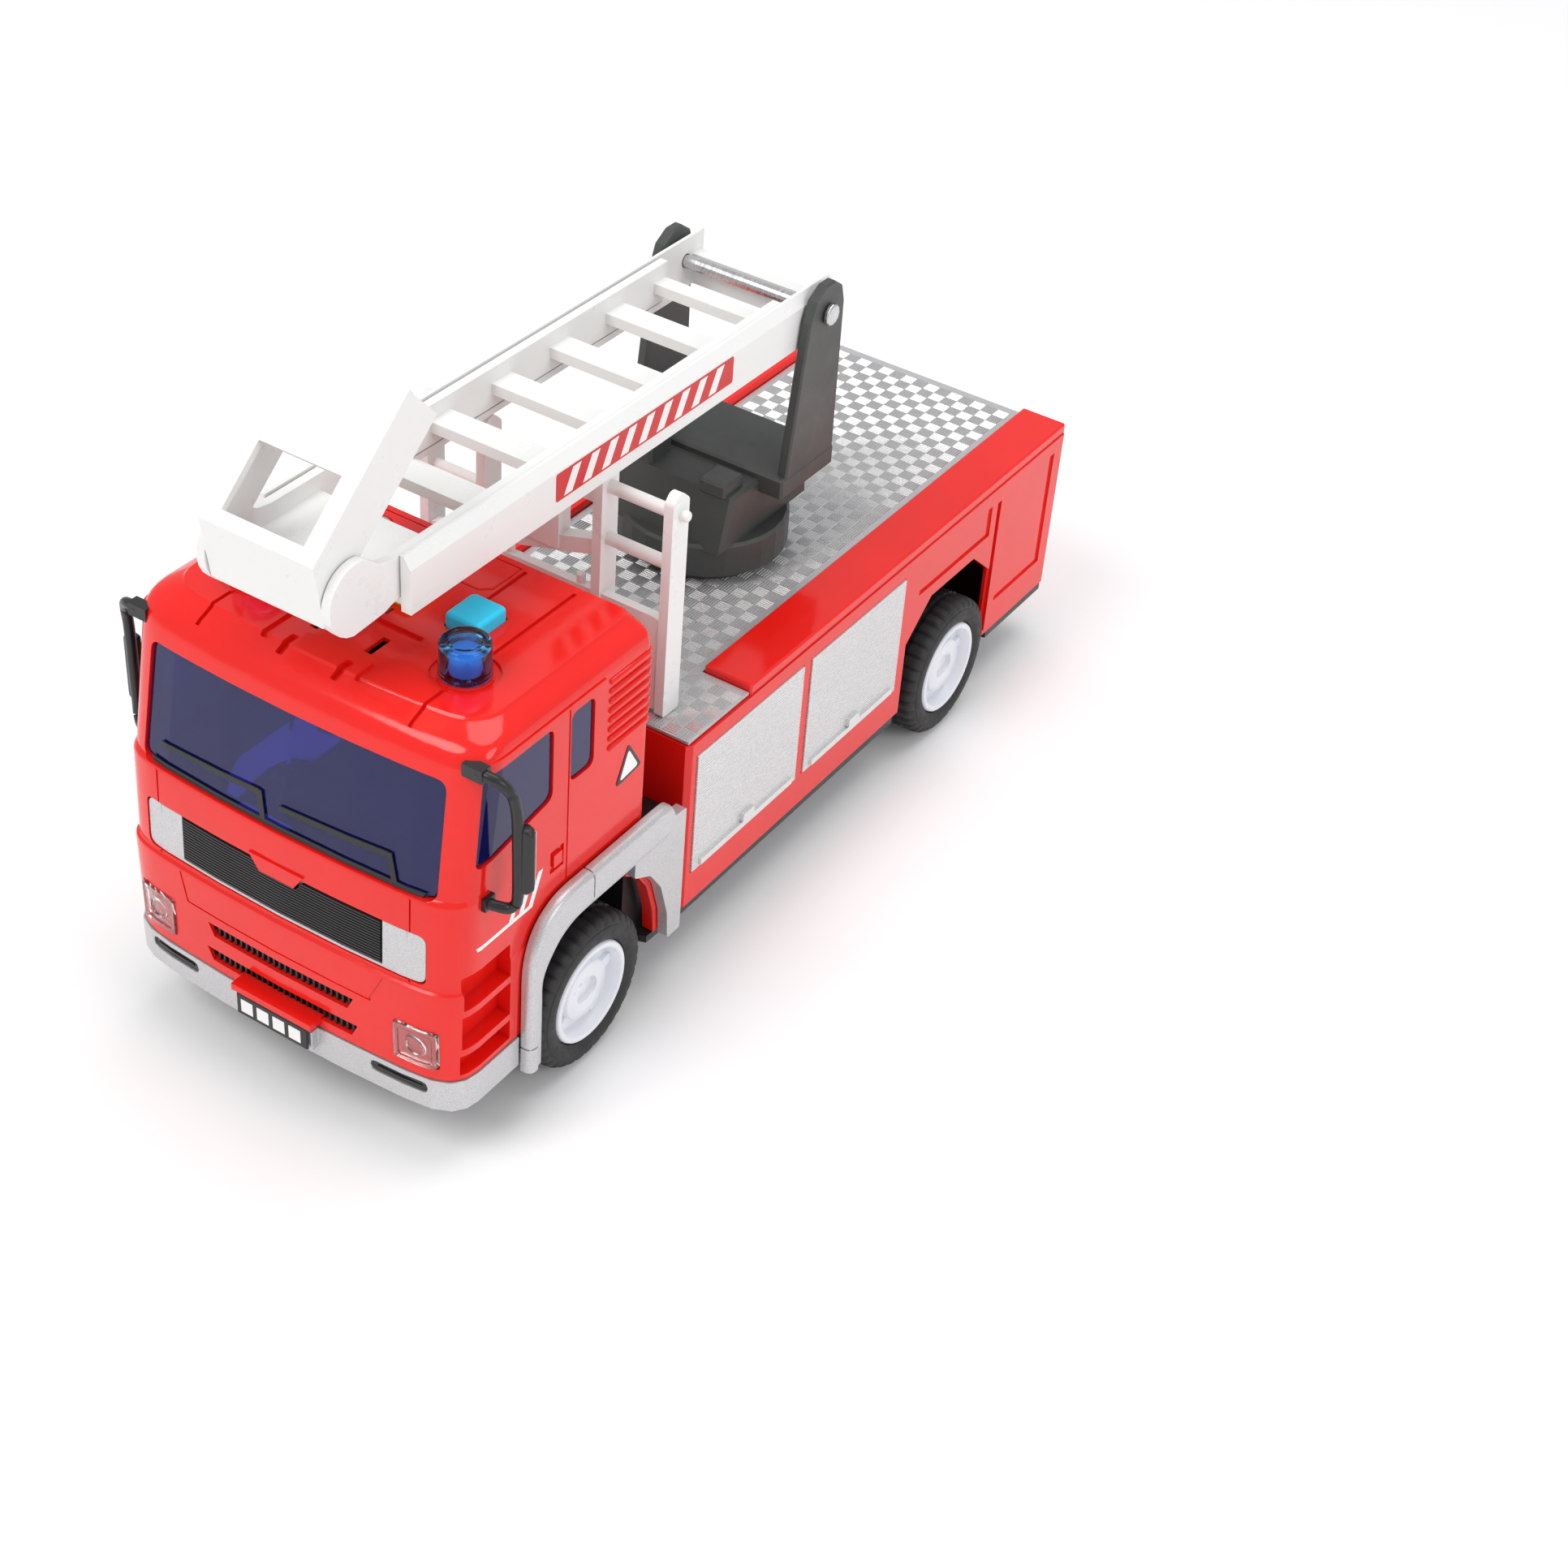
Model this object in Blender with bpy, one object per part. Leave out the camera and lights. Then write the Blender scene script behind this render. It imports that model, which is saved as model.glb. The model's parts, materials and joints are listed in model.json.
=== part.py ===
"""Toy fire engine with a turning, lifting and extending ladder.

Lengths below are in millimetres and become metres when a piece is finished.
X points to the engine's left, Y to its rear, Z up. While a piece is drawn, Y = 0 is
the cab's front plane. The whole engine is then moved so that its middle is at Y = 0.
"""
import math

import bmesh
import bpy
from mathutils import Matrix, Vector

for old in list(bpy.data.objects):
    bpy.data.objects.remove(old, do_unlink=True)
SCENE = bpy.context.scene

# ---------------------------------------------------------------- driving dimensions
MM = 0.001
MIDDLE_Y = 146.7            # half way along the engine
GAP = 0.3                   # play between pieces that fit together

CAB_HALF = 51.3             # half width of the cab
CAB_REAR = 77.2
CAB_BOTTOM = 28.0
ROOF_Z = 122.0
WALL = 2.0
CREASE_Z = 54.9             # step between the bumper block and the grille band
GLASS_BOTTOM, GLASS_TOP = 80.2, 111.2
BUMPER_BOTTOM, BUMPER_TOP = 18.3, 27.6
BUMPER_REAR = 26.6

WHEEL_Z = 21.4              # wheel centre height and tyre radius
TYRE_R = 21.4
TYRE_IN, TYRE_OUT = 39.8, 52.8
RIM_R = 14.5
AXLE_R = 1.5
FRONT_AXLE_Y, REAR_AXLE_Y = 55.2, 232.0
WELL_TOP = 51.8             # top of the wheel wells' inner walls

BODY_FRONT, BODY_REAR = 97.2, 296.0
BODY_HALF = 50.0
BODY_BOTTOM, BODY_TOP = 20.0, 71.4
DECK_T = 0.9
DECK_Z = BODY_TOP + GAP + DECK_T
PLINTH_Y, PLINTH_X, PLINTH_Z = 125.0, 35.0, 74.6

TURN_Y = 175.0              # turntable axis
TURN_R = 23.5
LIFT_Y, LIFT_Z = 189.0, 146.0
PIN_R = 1.75
LADDER_BOTTOM, LADDER_TOP = 138.0, 152.5
LADDER_FRONT, LADDER_REAR = 25.0, 197.0
SLIDE_Y = 27.5                          # where the fly section's slide is measured from
RUNG_PITCH = 23.3
RAIL_OUT, RAIL_IN = 22.0, 19.2
FLY_OUT, FLY_IN = 18.7, 16.3
FLY_BOTTOM, FLY_TOP = 141.2, 152.0
FLY_REAR = 176.0
TIP_Y, TIP_Z, TIP_R = 11.5, 148.2, 9.0
CAGE_OUT, CAGE_IN = 16.0, 14.2

BUTTON_Y, BUTTON_STEP = 50.0, 20.0
BUTTON_X, BUTTON_LEN, BUTTON_TOP = 9.6, 11.0, 125.6
BEACON_X, BEACON_Y, BEACON_R, BEACON_TOP = 30.5, 33.0, 6.2, 131.0

GEAR_MODULE, GEAR_TEETH, PINION_TEETH = 0.8, 24, 8
GEAR_CENTRES = GEAR_MODULE * (GEAR_TEETH + PINION_TEETH) / 2 + 0.12

# ---------------------------------------------------------------- materials
COLOURS = {
    "red_gloss": ((0.72, 0.012, 0.014, 1), 0.22, 0.0),
    "silver_paint": ((0.52, 0.52, 0.53, 1), 0.38, 0.6),
    "white_plastic": ((0.82, 0.81, 0.78, 1), 0.35, 0.0),
    "hub_white": ((0.80, 0.82, 0.86, 1), 0.35, 0.0),
    "black_plastic": ((0.015, 0.015, 0.016, 1), 0.45, 0.0),
    "plate_black": ((0.02, 0.02, 0.021, 1), 0.4, 0.0),
    "blue_glass": ((0.01, 0.012, 0.12, 0.75), 0.08, 0.0),
    "clear_lens": ((0.85, 0.8, 0.8, 0.35), 0.06, 0.0),
    "beacon_blue": ((0.0, 0.09, 0.75, 0.6), 0.06, 0.0),
    "button_green": ((0.22, 0.75, 0.03, 1), 0.35, 0.0),
    "button_yellow": ((0.9, 0.72, 0.0, 1), 0.35, 0.0),
    "button_blue": ((0.0, 0.42, 0.85, 1), 0.35, 0.0),
    "turret_grey": ((0.045, 0.05, 0.048, 1), 0.42, 0.0),
    "tyre_rubber": ((0.018, 0.018, 0.019, 1), 0.75, 0.0),
    "steel": ((0.6, 0.6, 0.6, 1), 0.25, 1.0),
    "cell_steel": ((0.68, 0.68, 0.66, 1), 0.2, 1.0),
    "board_green": ((0.02, 0.2, 0.05, 1), 0.5, 0.0),
    "gear_plastic": ((0.7, 0.68, 0.6, 1), 0.4, 0.0),
    "flywheel_zinc": ((0.42, 0.42, 0.43, 1), 0.4, 1.0),
    "lamp_red": ((0.6, 0.01, 0.01, 0.7), 0.1, 0.0),
}
MATERIALS = {}
for label, (rgba, rough, metal) in COLOURS.items():
    mat = bpy.data.materials.new(label)
    mat.use_nodes = True
    shader = mat.node_tree.nodes["Principled BSDF"]
    shader.inputs["Base Color"].default_value = rgba
    shader.inputs["Roughness"].default_value = rough
    shader.inputs["Metallic"].default_value = metal
    shader.inputs["Alpha"].default_value = rgba[3]
    mat.diffuse_color = rgba
    MATERIALS[label] = mat


# ---------------------------------------------------------------- building blocks
def raw(bm):
    """A working object, in millimetres, from a closed bmesh."""
    bmesh.ops.recalc_face_normals(bm, faces=bm.faces)
    mesh = bpy.data.meshes.new("work")
    bm.to_mesh(mesh)
    bm.free()
    ob = bpy.data.objects.new("work", mesh)
    SCENE.collection.objects.link(ob)
    return ob


def loft(rings):
    """A closed solid through rings of points, capped at both ends."""
    bm = bmesh.new()
    rows = [[bm.verts.new(p) for p in ring] for ring in rings]
    n = len(rows[0])
    for a, b in zip(rows, rows[1:]):
        for i in range(n):
            bm.faces.new((a[i], a[(i + 1) % n], b[(i + 1) % n], b[i]))
    bm.faces.new(rows[0])
    bm.faces.new(rows[-1])
    return raw(bm)


def to_axis(axis, across, up, along):
    """Place a profile point: X prisms take (y, z), Y prisms (x, z), Z prisms (x, y)."""
    return {"X": (along, across, up), "Y": (across, along, up),
            "Z": (across, up, along)}[axis]


def prism(axis, profile, lo, hi, chamfer=0.0, ends="both"):
    """A profile pushed along an axis. A chamfer narrows the chosen end faces."""
    bm = bmesh.new()
    start = lo + (chamfer if ends in ("both", "low") else 0.0)
    stop = hi - (chamfer if ends in ("both", "high") else 0.0)
    low = [bm.verts.new(to_axis(axis, a, b, start)) for a, b in profile]
    high = [bm.verts.new(to_axis(axis, a, b, stop)) for a, b in profile]
    n = len(profile)
    for i in range(n):
        bm.faces.new((low[i], low[(i + 1) % n], high[(i + 1) % n], high[i]))
    caps = {"low": bm.faces.new(low), "high": bm.faces.new(high)}
    bmesh.ops.recalc_face_normals(bm, faces=bm.faces)
    if chamfer:
        for end in ("low", "high"):
            if ends in ("both", end):
                bmesh.ops.inset_region(bm, faces=[caps[end]], thickness=chamfer, depth=chamfer,
                                       use_even_offset=True)
    return raw(bm)


def box(x0, x1, y0, y1, z0, z1, chamfer=0.0):
    """A block, its twelve edges cut back when a chamfer is given."""
    bm = bmesh.new()
    bmesh.ops.create_cube(bm, size=1.0)
    for v in bm.verts:
        v.co = Vector((x0 if v.co.x < 0 else x1, y0 if v.co.y < 0 else y1,
                       z0 if v.co.z < 0 else z1))
    if chamfer:
        bmesh.ops.bevel(bm, geom=bm.edges[:], offset=chamfer, segments=1, affect="EDGES")
    return raw(bm)


def ring_points(axis, centre, radius, along, count, turn=0.0):
    """Points of a circle about a line parallel to an axis."""
    out = []
    for i in range(count):
        t = 2 * math.pi * (i + turn) / count
        out.append(to_axis(axis, centre[0] + radius * math.cos(t),
                           centre[1] + radius * math.sin(t), along))
    return out


def turned(axis, centre, profile, count=24, turn=0.0):
    """A turned solid: profile is a list of (position along the axis, radius)."""
    return loft([ring_points(axis, centre, max(r, 0.01), a, count, turn) for a, r in profile])


def ring_turned(axis, centre, profile, count, radius_of=None):
    """A turned ring: profile is a closed loop of (position along the axis, radius)."""
    bm = bmesh.new()
    rows = []
    for i in range(count):
        t = 2 * math.pi * i / count
        row = []
        for k, (a, r) in enumerate(profile):
            rr = radius_of(i, k, r) if radius_of else r
            row.append(bm.verts.new(to_axis(axis, centre[0] + rr * math.cos(t),
                                            centre[1] + rr * math.sin(t), a)))
        rows.append(row)
    m = len(profile)
    for i in range(count):
        a, b = rows[i], rows[(i + 1) % count]
        for k in range(m):
            bm.faces.new((a[k], a[(k + 1) % m], b[(k + 1) % m], b[k]))
    return raw(bm)


def rod(points, radius, sides=8):
    """A round bar through points, mitred at each corner."""
    pts = [Vector(p) for p in points]
    rings = []
    side = None
    for i, p in enumerate(pts):
        before = (p - pts[i - 1]).normalized() if i else None
        after = (pts[i + 1] - p).normalized() if i + 1 < len(pts) else None
        tangent = ((before or after) + (after or before)).normalized()
        if side is None:
            side = tangent.orthogonal().normalized()
        side = (side - tangent * side.dot(tangent)).normalized()
        other = tangent.cross(side)
        stretch = 1.0
        if before is not None and after is not None:
            stretch = 1.0 / max(0.5, before.dot(tangent))
        rings.append([p + radius * stretch * (side * math.cos(2 * math.pi * k / sides)
                                              + other * math.sin(2 * math.pi * k / sides))
                      for k in range(sides)])
    return loft(rings)


def bake(ob):
    """Turn an object's modifiers into plain mesh and tidy what the cuts leave."""
    graph = bpy.context.evaluated_depsgraph_get()
    mesh = bpy.data.meshes.new_from_object(ob.evaluated_get(graph))
    ob.modifiers.clear()
    ob.data = mesh
    bm = bmesh.new()
    bm.from_mesh(mesh)
    bmesh.ops.remove_doubles(bm, verts=bm.verts, dist=0.0005)
    bmesh.ops.dissolve_degenerate(bm, edges=bm.edges, dist=0.0005)
    bm.to_mesh(mesh)
    bm.free()
    return ob


def combine(target, tools, how):
    """Add tools to, cut them from or keep what they share with the target."""
    for tool in tools:
        mod = target.modifiers.new("combine", "BOOLEAN")
        mod.operation = how
        mod.solver = "EXACT"
        mod.object = tool
    bake(target)
    for tool in tools:
        bpy.data.objects.remove(tool, do_unlink=True)
    return target


def add(target, *tools):
    return combine(target, tools, "UNION")


def cut(target, *tools):
    return combine(target, tools, "DIFFERENCE")


def keep(target, *tools):
    return combine(target, tools, "INTERSECT")


def finish(ob, name, material, origin=(0, 0, 0), smooth=32):
    """Name, colour and scale a piece, with its origin on its joint axis."""
    mesh = ob.data
    mesh.transform(Matrix.Translation(-Vector(origin)))
    mesh.transform(Matrix.Scale(MM, 4))
    mesh.materials.clear()
    mesh.materials.append(MATERIALS[material])
    if smooth:
        for poly in mesh.polygons:
            poly.use_smooth = True
        mesh.set_sharp_from_angle(angle=math.radians(smooth))
    ob.name = name
    mesh.name = name
    ob.location = (Vector(origin) - Vector((0, MIDDLE_Y, 0))) * MM
    return ob


def mirrored(ob):
    """A working copy reflected in the engine's middle plane."""
    copy = ob.copy()
    copy.data = ob.data.copy()
    SCENE.collection.objects.link(copy)
    bm = bmesh.new()
    bm.from_mesh(copy.data)
    bmesh.ops.scale(bm, vec=(-1, 1, 1), verts=bm.verts)
    bmesh.ops.reverse_faces(bm, faces=bm.faces)
    bm.to_mesh(copy.data)
    bm.free()
    return copy


def pair(ob, name, material, **more):
    """Finish a left-hand piece and its right-hand twin."""
    twin = mirrored(ob)
    finish(ob, name + "_left", material, **more)
    finish(twin, name + "_right", material, **more)


# ---------------------------------------------------------------- cab form
# height, half width, front position on the middle line
CAB_TABLE = [
    (18.0, 51.0, 0.4), (54.2, 51.3, 0.0), (55.6, 51.3, 1.0), (79.4, 51.3, 1.9),
    (81.0, 51.2, 3.2), (111.4, 51.2, 8.4), (114.5, 51.2, 9.0), (117.4, 51.0, 10.2),
    (120.2, 48.8, 12.6), (122.0, 45.3, 16.0),
]


def cab_section(z):
    """Half width and front position of the cab at a height."""
    for (z0, w0, f0), (z1, w1, f1) in zip(CAB_TABLE, CAB_TABLE[1:]):
        if z <= z1:
            t = max(0.0, (z - z0) / (z1 - z0))
            return w0 + (w1 - w0) * t, f0 + (f1 - f0) * t
    return CAB_TABLE[-1][1:]


def cab_plan(z, inset):
    """The cab's outline at a height, drawn in by an inset."""
    w, f = cab_section(z)
    w, f, rear = w - inset, f + inset, CAB_REAR - inset
    if z > 118:
        rear -= (z - 118) * 0.35
    k = w / CAB_HALF
    half = [(0, f), (19 * k, f + 0.4), (36.5 * k, f + 1.4), (44 * k, f + 2.5),
            (48.4 * k, f + 4.6), (50.6 * k, f + 7.6), (w, f + 11.5),
            (w, rear - 2.5), (w - 0.9, rear - 0.8), (w - 2.6, rear)]
    return half + [(-x, y) for x, y in reversed(half[1:])]


def cab_solid(inset, z0, z1):
    """The cab's outer form between two heights, drawn in by an inset all round."""
    levels = [z0] + [z for z, _, _ in CAB_TABLE if z0 + 0.2 < z < z1 - 0.2] + [z1]
    rings = []
    for z in levels:
        drop = inset * max(0.0, z - 111.4) / (122.0 - 111.4)
        rings.append([(x, y, z - drop) for x, y in cab_plan(z, inset)])
    return loft(rings)


def rounded(points, radius, steps=2):
    """A polygon with its corners cut back along short arcs."""
    out = []
    n = len(points)
    for i, p in enumerate(points):
        p = Vector(p)
        a = (Vector(points[i - 1]) - p).normalized()
        b = (Vector(points[(i + 1) % n]) - p).normalized()
        start, end = p + a * radius, p + b * radius
        for k in range(steps + 1):
            t = k / steps
            q = (1 - t) ** 2 * start + 2 * t * (1 - t) * p + t * t * end
            out.append((q.x, q.y))
    return out


WINDSCREEN = [(-44.0, GLASS_BOTTOM), (44.0, GLASS_BOTTOM), (43.2, GLASS_TOP),
              (-43.2, GLASS_TOP)]
DOOR_WINDOW = [(11.5, 88.4), (38.6, 93.0), (38.6, 113.0), (15.0, 113.0)]
REAR_WINDOW = [(45.2, 93.4), (54.2, 93.4), (54.2, 113.0), (45.2, 113.0)]


def offset_box(points, by):
    """Shrink a convex outline towards its middle by a fixed amount."""
    cx = sum(p[0] for p in points) / len(points)
    cz = sum(p[1] for p in points) / len(points)
    return [(x - math.copysign(by, x - cx), z - math.copysign(by, z - cz)) for x, z in points]


def roof_sunk(cab, outline, depth):
    """Sinks an outline into the roof by an even depth."""
    layer = cut(cab_solid(-1, 104, ROOF_Z), cab_solid(depth, 102, ROOF_Z))
    cut(cab, keep(prism("Z", outline, 106, 130), layer))


def side_window(shape, side, shrink, depth):
    """The outline of a side window pushed through one side of the cab."""
    outline = rounded(offset_box(shape, shrink), 2.4)
    return prism("X", outline, *sorted((side * (CAB_HALF - depth), side * (CAB_HALF + 3))))


def cab_windows(shrink, depth):
    """The windscreen and the four side windows as separate tools."""
    tools = [prism("Y", rounded(offset_box(WINDSCREEN, shrink), 3.0), -4.0, 22.0)]
    for shape in (DOOR_WINDOW, REAR_WINDOW):
        tools += [side_window(shape, side, shrink, depth) for side in (-1, 1)]
    return tools


ARCH = [(30.6, 5), (30.6, 44), (43.5, 54.6), (110, 54.6), (110, 5)]

# ---------------------------------------------------------------- cab shell
cab = cab_solid(0, CAB_BOTTOM, ROOF_Z)
cut(cab, cab_solid(WALL, CAB_BOTTOM - 6, ROOF_Z))
backing = box(44.5, 50.2, 8.5, 28.5, CAB_BOTTOM, 63)
add(cab, backing, mirrored(backing))
cut(cab, *cab_windows(0, 8))
cut(cab, prism("X", ARCH, -70, 70))
# boarding steps in both sides
for z0, z1, y0 in ((49.6, 59.4, 7.2), (37.4, 47.6, 6.8), (29.4, 35.4, 6.4)):
    pocket = box(47.2, 60, y0, 23.4, z0, z1)
    cut(cab, pocket, mirrored(pocket))
# air slots in the bumper block, headlamp openings and grille opening
slot_hi = prism("Y", [(-22.5, 42.6), (22.5, 42.6), (20.8, 38.8), (-20.8, 38.8)], -5, 9)
slot_lo = prism("Y", [(-23.5, 34.4), (23.5, 34.4), (21.6, 30.6), (-21.6, 30.6)], -5, 9)
lamp_hole = box(34.0, 46.0, -5, 8, 31.2, 42.9)
grille_hole = box(-42.4, 42.4, -5, 9, 55.9, 70.2)
cut(cab, slot_hi, slot_lo, lamp_hole, mirrored(lamp_hole), grille_hole)
# hood tab over the grille, ledge over the number plate
add(cab, prism("Y", [(-8.2, 71.6), (8.2, 71.6), (5.2, 67.3), (-5.2, 67.3)], 1.15, 2.9),
    box(-12.4, 12.4, -3.4, 1.6, 29.3, 31.2, 0.4))
# roof openings: buttons, beacons, speaker slots and battery hatch
for i in (-1, 0, 1):
    x = i * BUTTON_STEP
    cut(cab, box(x - BUTTON_X / 2 - GAP, x + BUTTON_X / 2 + GAP, BUTTON_Y - BUTTON_LEN / 2 - GAP,
                 BUTTON_Y + BUTTON_LEN / 2 + GAP, 116, 126))
for s in (-1, 1):
    cut(cab, turned("Z", (s * BEACON_X, BEACON_Y), [(116, 5.3), (125, 5.3)], 24),
        ring_turned("Z", (s * BEACON_X, BEACON_Y), [(121.5, 6.7), (123, 6.7), (123, 8.0),
                                                    (121.5, 8.0)], 28))
cut(cab, box(-9.0, -6.8, 26.4, 33.4, 116, 126), box(6.8, 9.0, 26.4, 33.4, 116, 126),
    box(-1.1, 1.1, 29.0, 31.4, 116, 126))
HATCH = [(-29.0, 65.0), (-26.0, 62.0), (-20.0, 61.6), (-19.0, 60.4), (12.5, 60.4), (15.0, 62.6),
         (15.0, 74.0), (-26.0, 74.0), (-29.0, 71.0)]
cut(cab, prism("Z", HATCH, 120.9, 126),
    box(-18, 13, 61.8, 73.2, 116, 126), turned("Z", (-23.5, 68.0), [(116, 1.3), (126, 1.3)], 12))
# shallow grooves moulded in the roof and the doors
for x in (-31.4, -17.0, 15.9, 30.3):
    for y1, y2 in ((13.0, 26.0), (42.0, 74.0)) if abs(x) > 25 else ((59.0, 74.0),):
        roof_sunk(cab, [(x, y1), (x + 1.1, y1), (x + 1.1, y2), (x, y2)], 0.5)
# sunk band with two legs round the speaker slots, and two pockets in front of it
roof_sunk(cab, [(-15.2, 16.6), (-12.2, 16.6), (-12.2, 23.4), (12.2, 23.4), (12.2, 16.6), (15.2, 16.6),
                (15.2, 37.8), (-15.2, 37.8)], 0.45)
for x0 in (-9.0, 6.9):
    roof_sunk(cab, [(x0, 14.6), (x0 + 2.1, 14.6), (x0 + 2.1, 20.8), (x0, 20.8)], 0.9)
for s in (-1, 1):
    cut(cab, box(*sorted((s * (CAB_HALF - 0.5), s * 60)), 44.3, 45.0, 64.5, 116.0),
        box(*sorted((s * (CAB_HALF - 0.7), s * 60)), 38.2, 43.4, 70.5, 77.0))
# louvre ribs wrapped round the rear corners
for i in range(8):
    z = 94.2 + 2.75 * i
    for s in (-1, 1):
        add(cab, box(*sorted((s * 50.4, s * (CAB_HALF + 0.7))), 60.0, 76.6, z - 0.7, z + 0.7))
finish(cab, "cab_shell", "red_gloss", smooth=17)

# ---------------------------------------------------------------- cab front pieces
bumper = keep(cab_solid(-0.5, BUMPER_BOTTOM, BUMPER_TOP), box(-60, 60, -9, BUMPER_REAR, 10, 40))
cut(bumper, cab_solid(2.0, BUMPER_BOTTOM - 3, BUMPER_TOP + 3))
add(bumper, box(-11.6, 11.6, -2.2, 2.2, 21.6, BUMPER_TOP))
fog = prism("Y", rounded([(27.2, 22.8), (43.2, 22.8), (43.2, 26.2), (27.2, 26.2)], 1.5), -9, 9)
cut(bumper, fog, mirrored(fog))
finish(bumper, "front_bumper", "silver_paint")

surround = keep(box(-42.1, 42.1, -5, 12, 56.2, 69.9), cab_solid(0.15, 40, 80))
cut(surround, cab_solid(2.5, 38, 82))
cut(surround, keep(box(-30.4, 30.4, -5, 12, 56.8, 75), cut(cab_solid(-3, 40, 80),
                                                           cab_solid(1.6, 38, 82))))
finish(surround, "grille_surround", "silver_paint")

grille = keep(box(-30.1, 30.1, -5, 12, 57.1, 69.6), cut(cab_solid(-0.1, 40, 80),
                                                        cab_solid(1.3, 38, 82)))
cut(grille, *[keep(box(-29.4, 29.4, -5, 12, 58.2 + 1.55 * i, 58.75 + 1.55 * i),
                   cut(cab_solid(-2, 40, 80), cab_solid(0.55, 38, 82))) for i in range(7)])
cut(grille, prism("Y", [(-9.2, 71.9), (9.2, 71.9), (5.6, 66.9), (-5.6, 66.9)], -5, 9))
finish(grille, "grille_insert", "black_plastic")

intake = keep(box(-44, 44, -5, 8.2, 21.8, 45), cut(cab_solid(2.3, 18.5, 50), cab_solid(3.7, 18.2, 52)))
corner = box(33.2, 60, -5, 16, 30.0, 60)
cut(intake, corner, mirrored(corner))
finish(intake, "lower_intake", "black_plastic")

lens = keep(box(34.3, 45.7, -5, 12, 31.5, 42.6), cut(cab_solid(-0.35, 24, 50), cab_solid(1.5, 22, 52)))
pair(lens, "headlamp_lens", "clear_lens")

plate = box(-11.1, 11.1, -3.3, -2.5, 22.4, 28.9, 0.25)
finish(plate, "number_plate", "plate_black")

glazing = cut(cab_solid(2.3, 77.5, 116.0), cab_solid(3.4, 76.0, 118.0))
cut(glazing, box(-40, 40, 60, 90, 70, 120))
for tool in cab_windows(0.3, 3.0):
    add(glazing, keep(tool, cut(cab_solid(0.7, 70, 119), cab_solid(2.8, 68, 120))))
finish(glazing, "cab_glazing", "blue_glass")

wiper_zone = cut(cab_solid(0.1, 70, 119), cab_solid(0.4, 68, 120))
WIPER_PARTS = [
    [(-40.4, 80.6), (40.4, 80.6), (41.2, 81.6), (-41.2, 81.6)],
    [(-5.9, 80.8), (-4.3, 80.8), (-6.2, 88.3), (-7.8, 88.0)],
    [(-6.8, 86.8), (-7.0, 88.4), (-38.2, 86.8), (-38.4, 85.5)],
    [(32.0, 80.8), (33.6, 80.8), (31.2, 88.2), (29.6, 87.9)],
    [(30.6, 86.6), (30.4, 88.2), (-0.7, 86.9), (-0.5, 85.5)],
]
wipers = prism("Y", WIPER_PARTS[0], -4, 22)
for shape in WIPER_PARTS[1:]:
    add(wipers, prism("Y", shape, -5, 23))
keep(wipers, wiper_zone)
finish(wipers, "wipers", "black_plastic")

# ---------------------------------------------------------------- mirrors, beacons, buttons
MIRROR_ARM = [(52.5, 13.7, 114.6), (54.7, 14.6, 113.4), (57.4, 17.2, 106.0), (57.4, 17.7, 79.0),
              (55.7, 16.6, 77.5), (52.5, 14.5, 78.6)]
mirror = rod(MIRROR_ARM, 1.4)
head = box(56.6, 60.9, 17.2, 20.4, 82.4, 101.0, 0.9)
add(mirror, head, box(51.65, 53.2, 11.8, 15.6, 113.0, 117.2, 0.4),
    box(51.65, 53.2, 12.6, 16.4, 76.9, 80.4, 0.4))
pair(mirror, "mirror", "black_plastic")

beacon = turned("Z", (BEACON_X, BEACON_Y),
                [(118.6, 4.9), (ROOF_Z + GAP, 4.9), (ROOF_Z + GAP, BEACON_R),
                 (BEACON_TOP - 1.2, BEACON_R - 0.35), (BEACON_TOP - 0.3, BEACON_R - 1.0),
                 (BEACON_TOP, BEACON_R - 2.1)], 20)
cut(beacon, turned("Z", (BEACON_X, BEACON_Y), [(118.0, 3.9), (BEACON_TOP - 1.6, 3.9)], 16))
pair(beacon, "beacon", "beacon_blue")

for i, tint in ((-1, "green"), (0, "yellow"), (1, "blue")):
    x = i * BUTTON_STEP
    cap = box(x - BUTTON_X / 2, x + BUTTON_X / 2, BUTTON_Y - BUTTON_LEN / 2,
              BUTTON_Y + BUTTON_LEN / 2, 117.8, BUTTON_TOP, 0.7)
    add(cap, box(x - 6.0, x + 6.0, BUTTON_Y - 6.8, BUTTON_Y + 6.8, 118.2, 119.4),
        turned("Z", (x, BUTTON_Y), [(116.4, 1.6), (118.6, 1.6)], 10))
    finish(cap, "button_" + tint, "button_" + tint, origin=(x, BUTTON_Y, BUTTON_TOP))

# ---------------------------------------------------------------- battery hatch and electronics
hatch = prism("Z", [(x + (GAP if x < 0 else -GAP), y + (GAP if y < 67 else -GAP))
                    for x, y in HATCH], 121.2, 122.1, 0.2, "high")
cut(hatch, turned("Z", (-23.5, 68.0), [(120, 1.5), (124, 1.5)], 12),
    turned("Z", (-23.5, 68.0), [(121.65, 3.5), (124, 3.5)], 16))
finish(hatch, "battery_hatch", "red_gloss")

screw = turned("Z", (-23.5, 68.0), [(113.0, 0.95), (121.75, 0.95), (121.75, 3.0), (122.3, 2.9),
                                    (122.8, 1.9)], 16)
cut(screw, box(-25.6, -21.4, 67.7, 68.3, 122.05, 124), box(-23.8, -23.2, 65.9, 70.1, 122.05, 124))
finish(screw, "hatch_screw", "steel")

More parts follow.
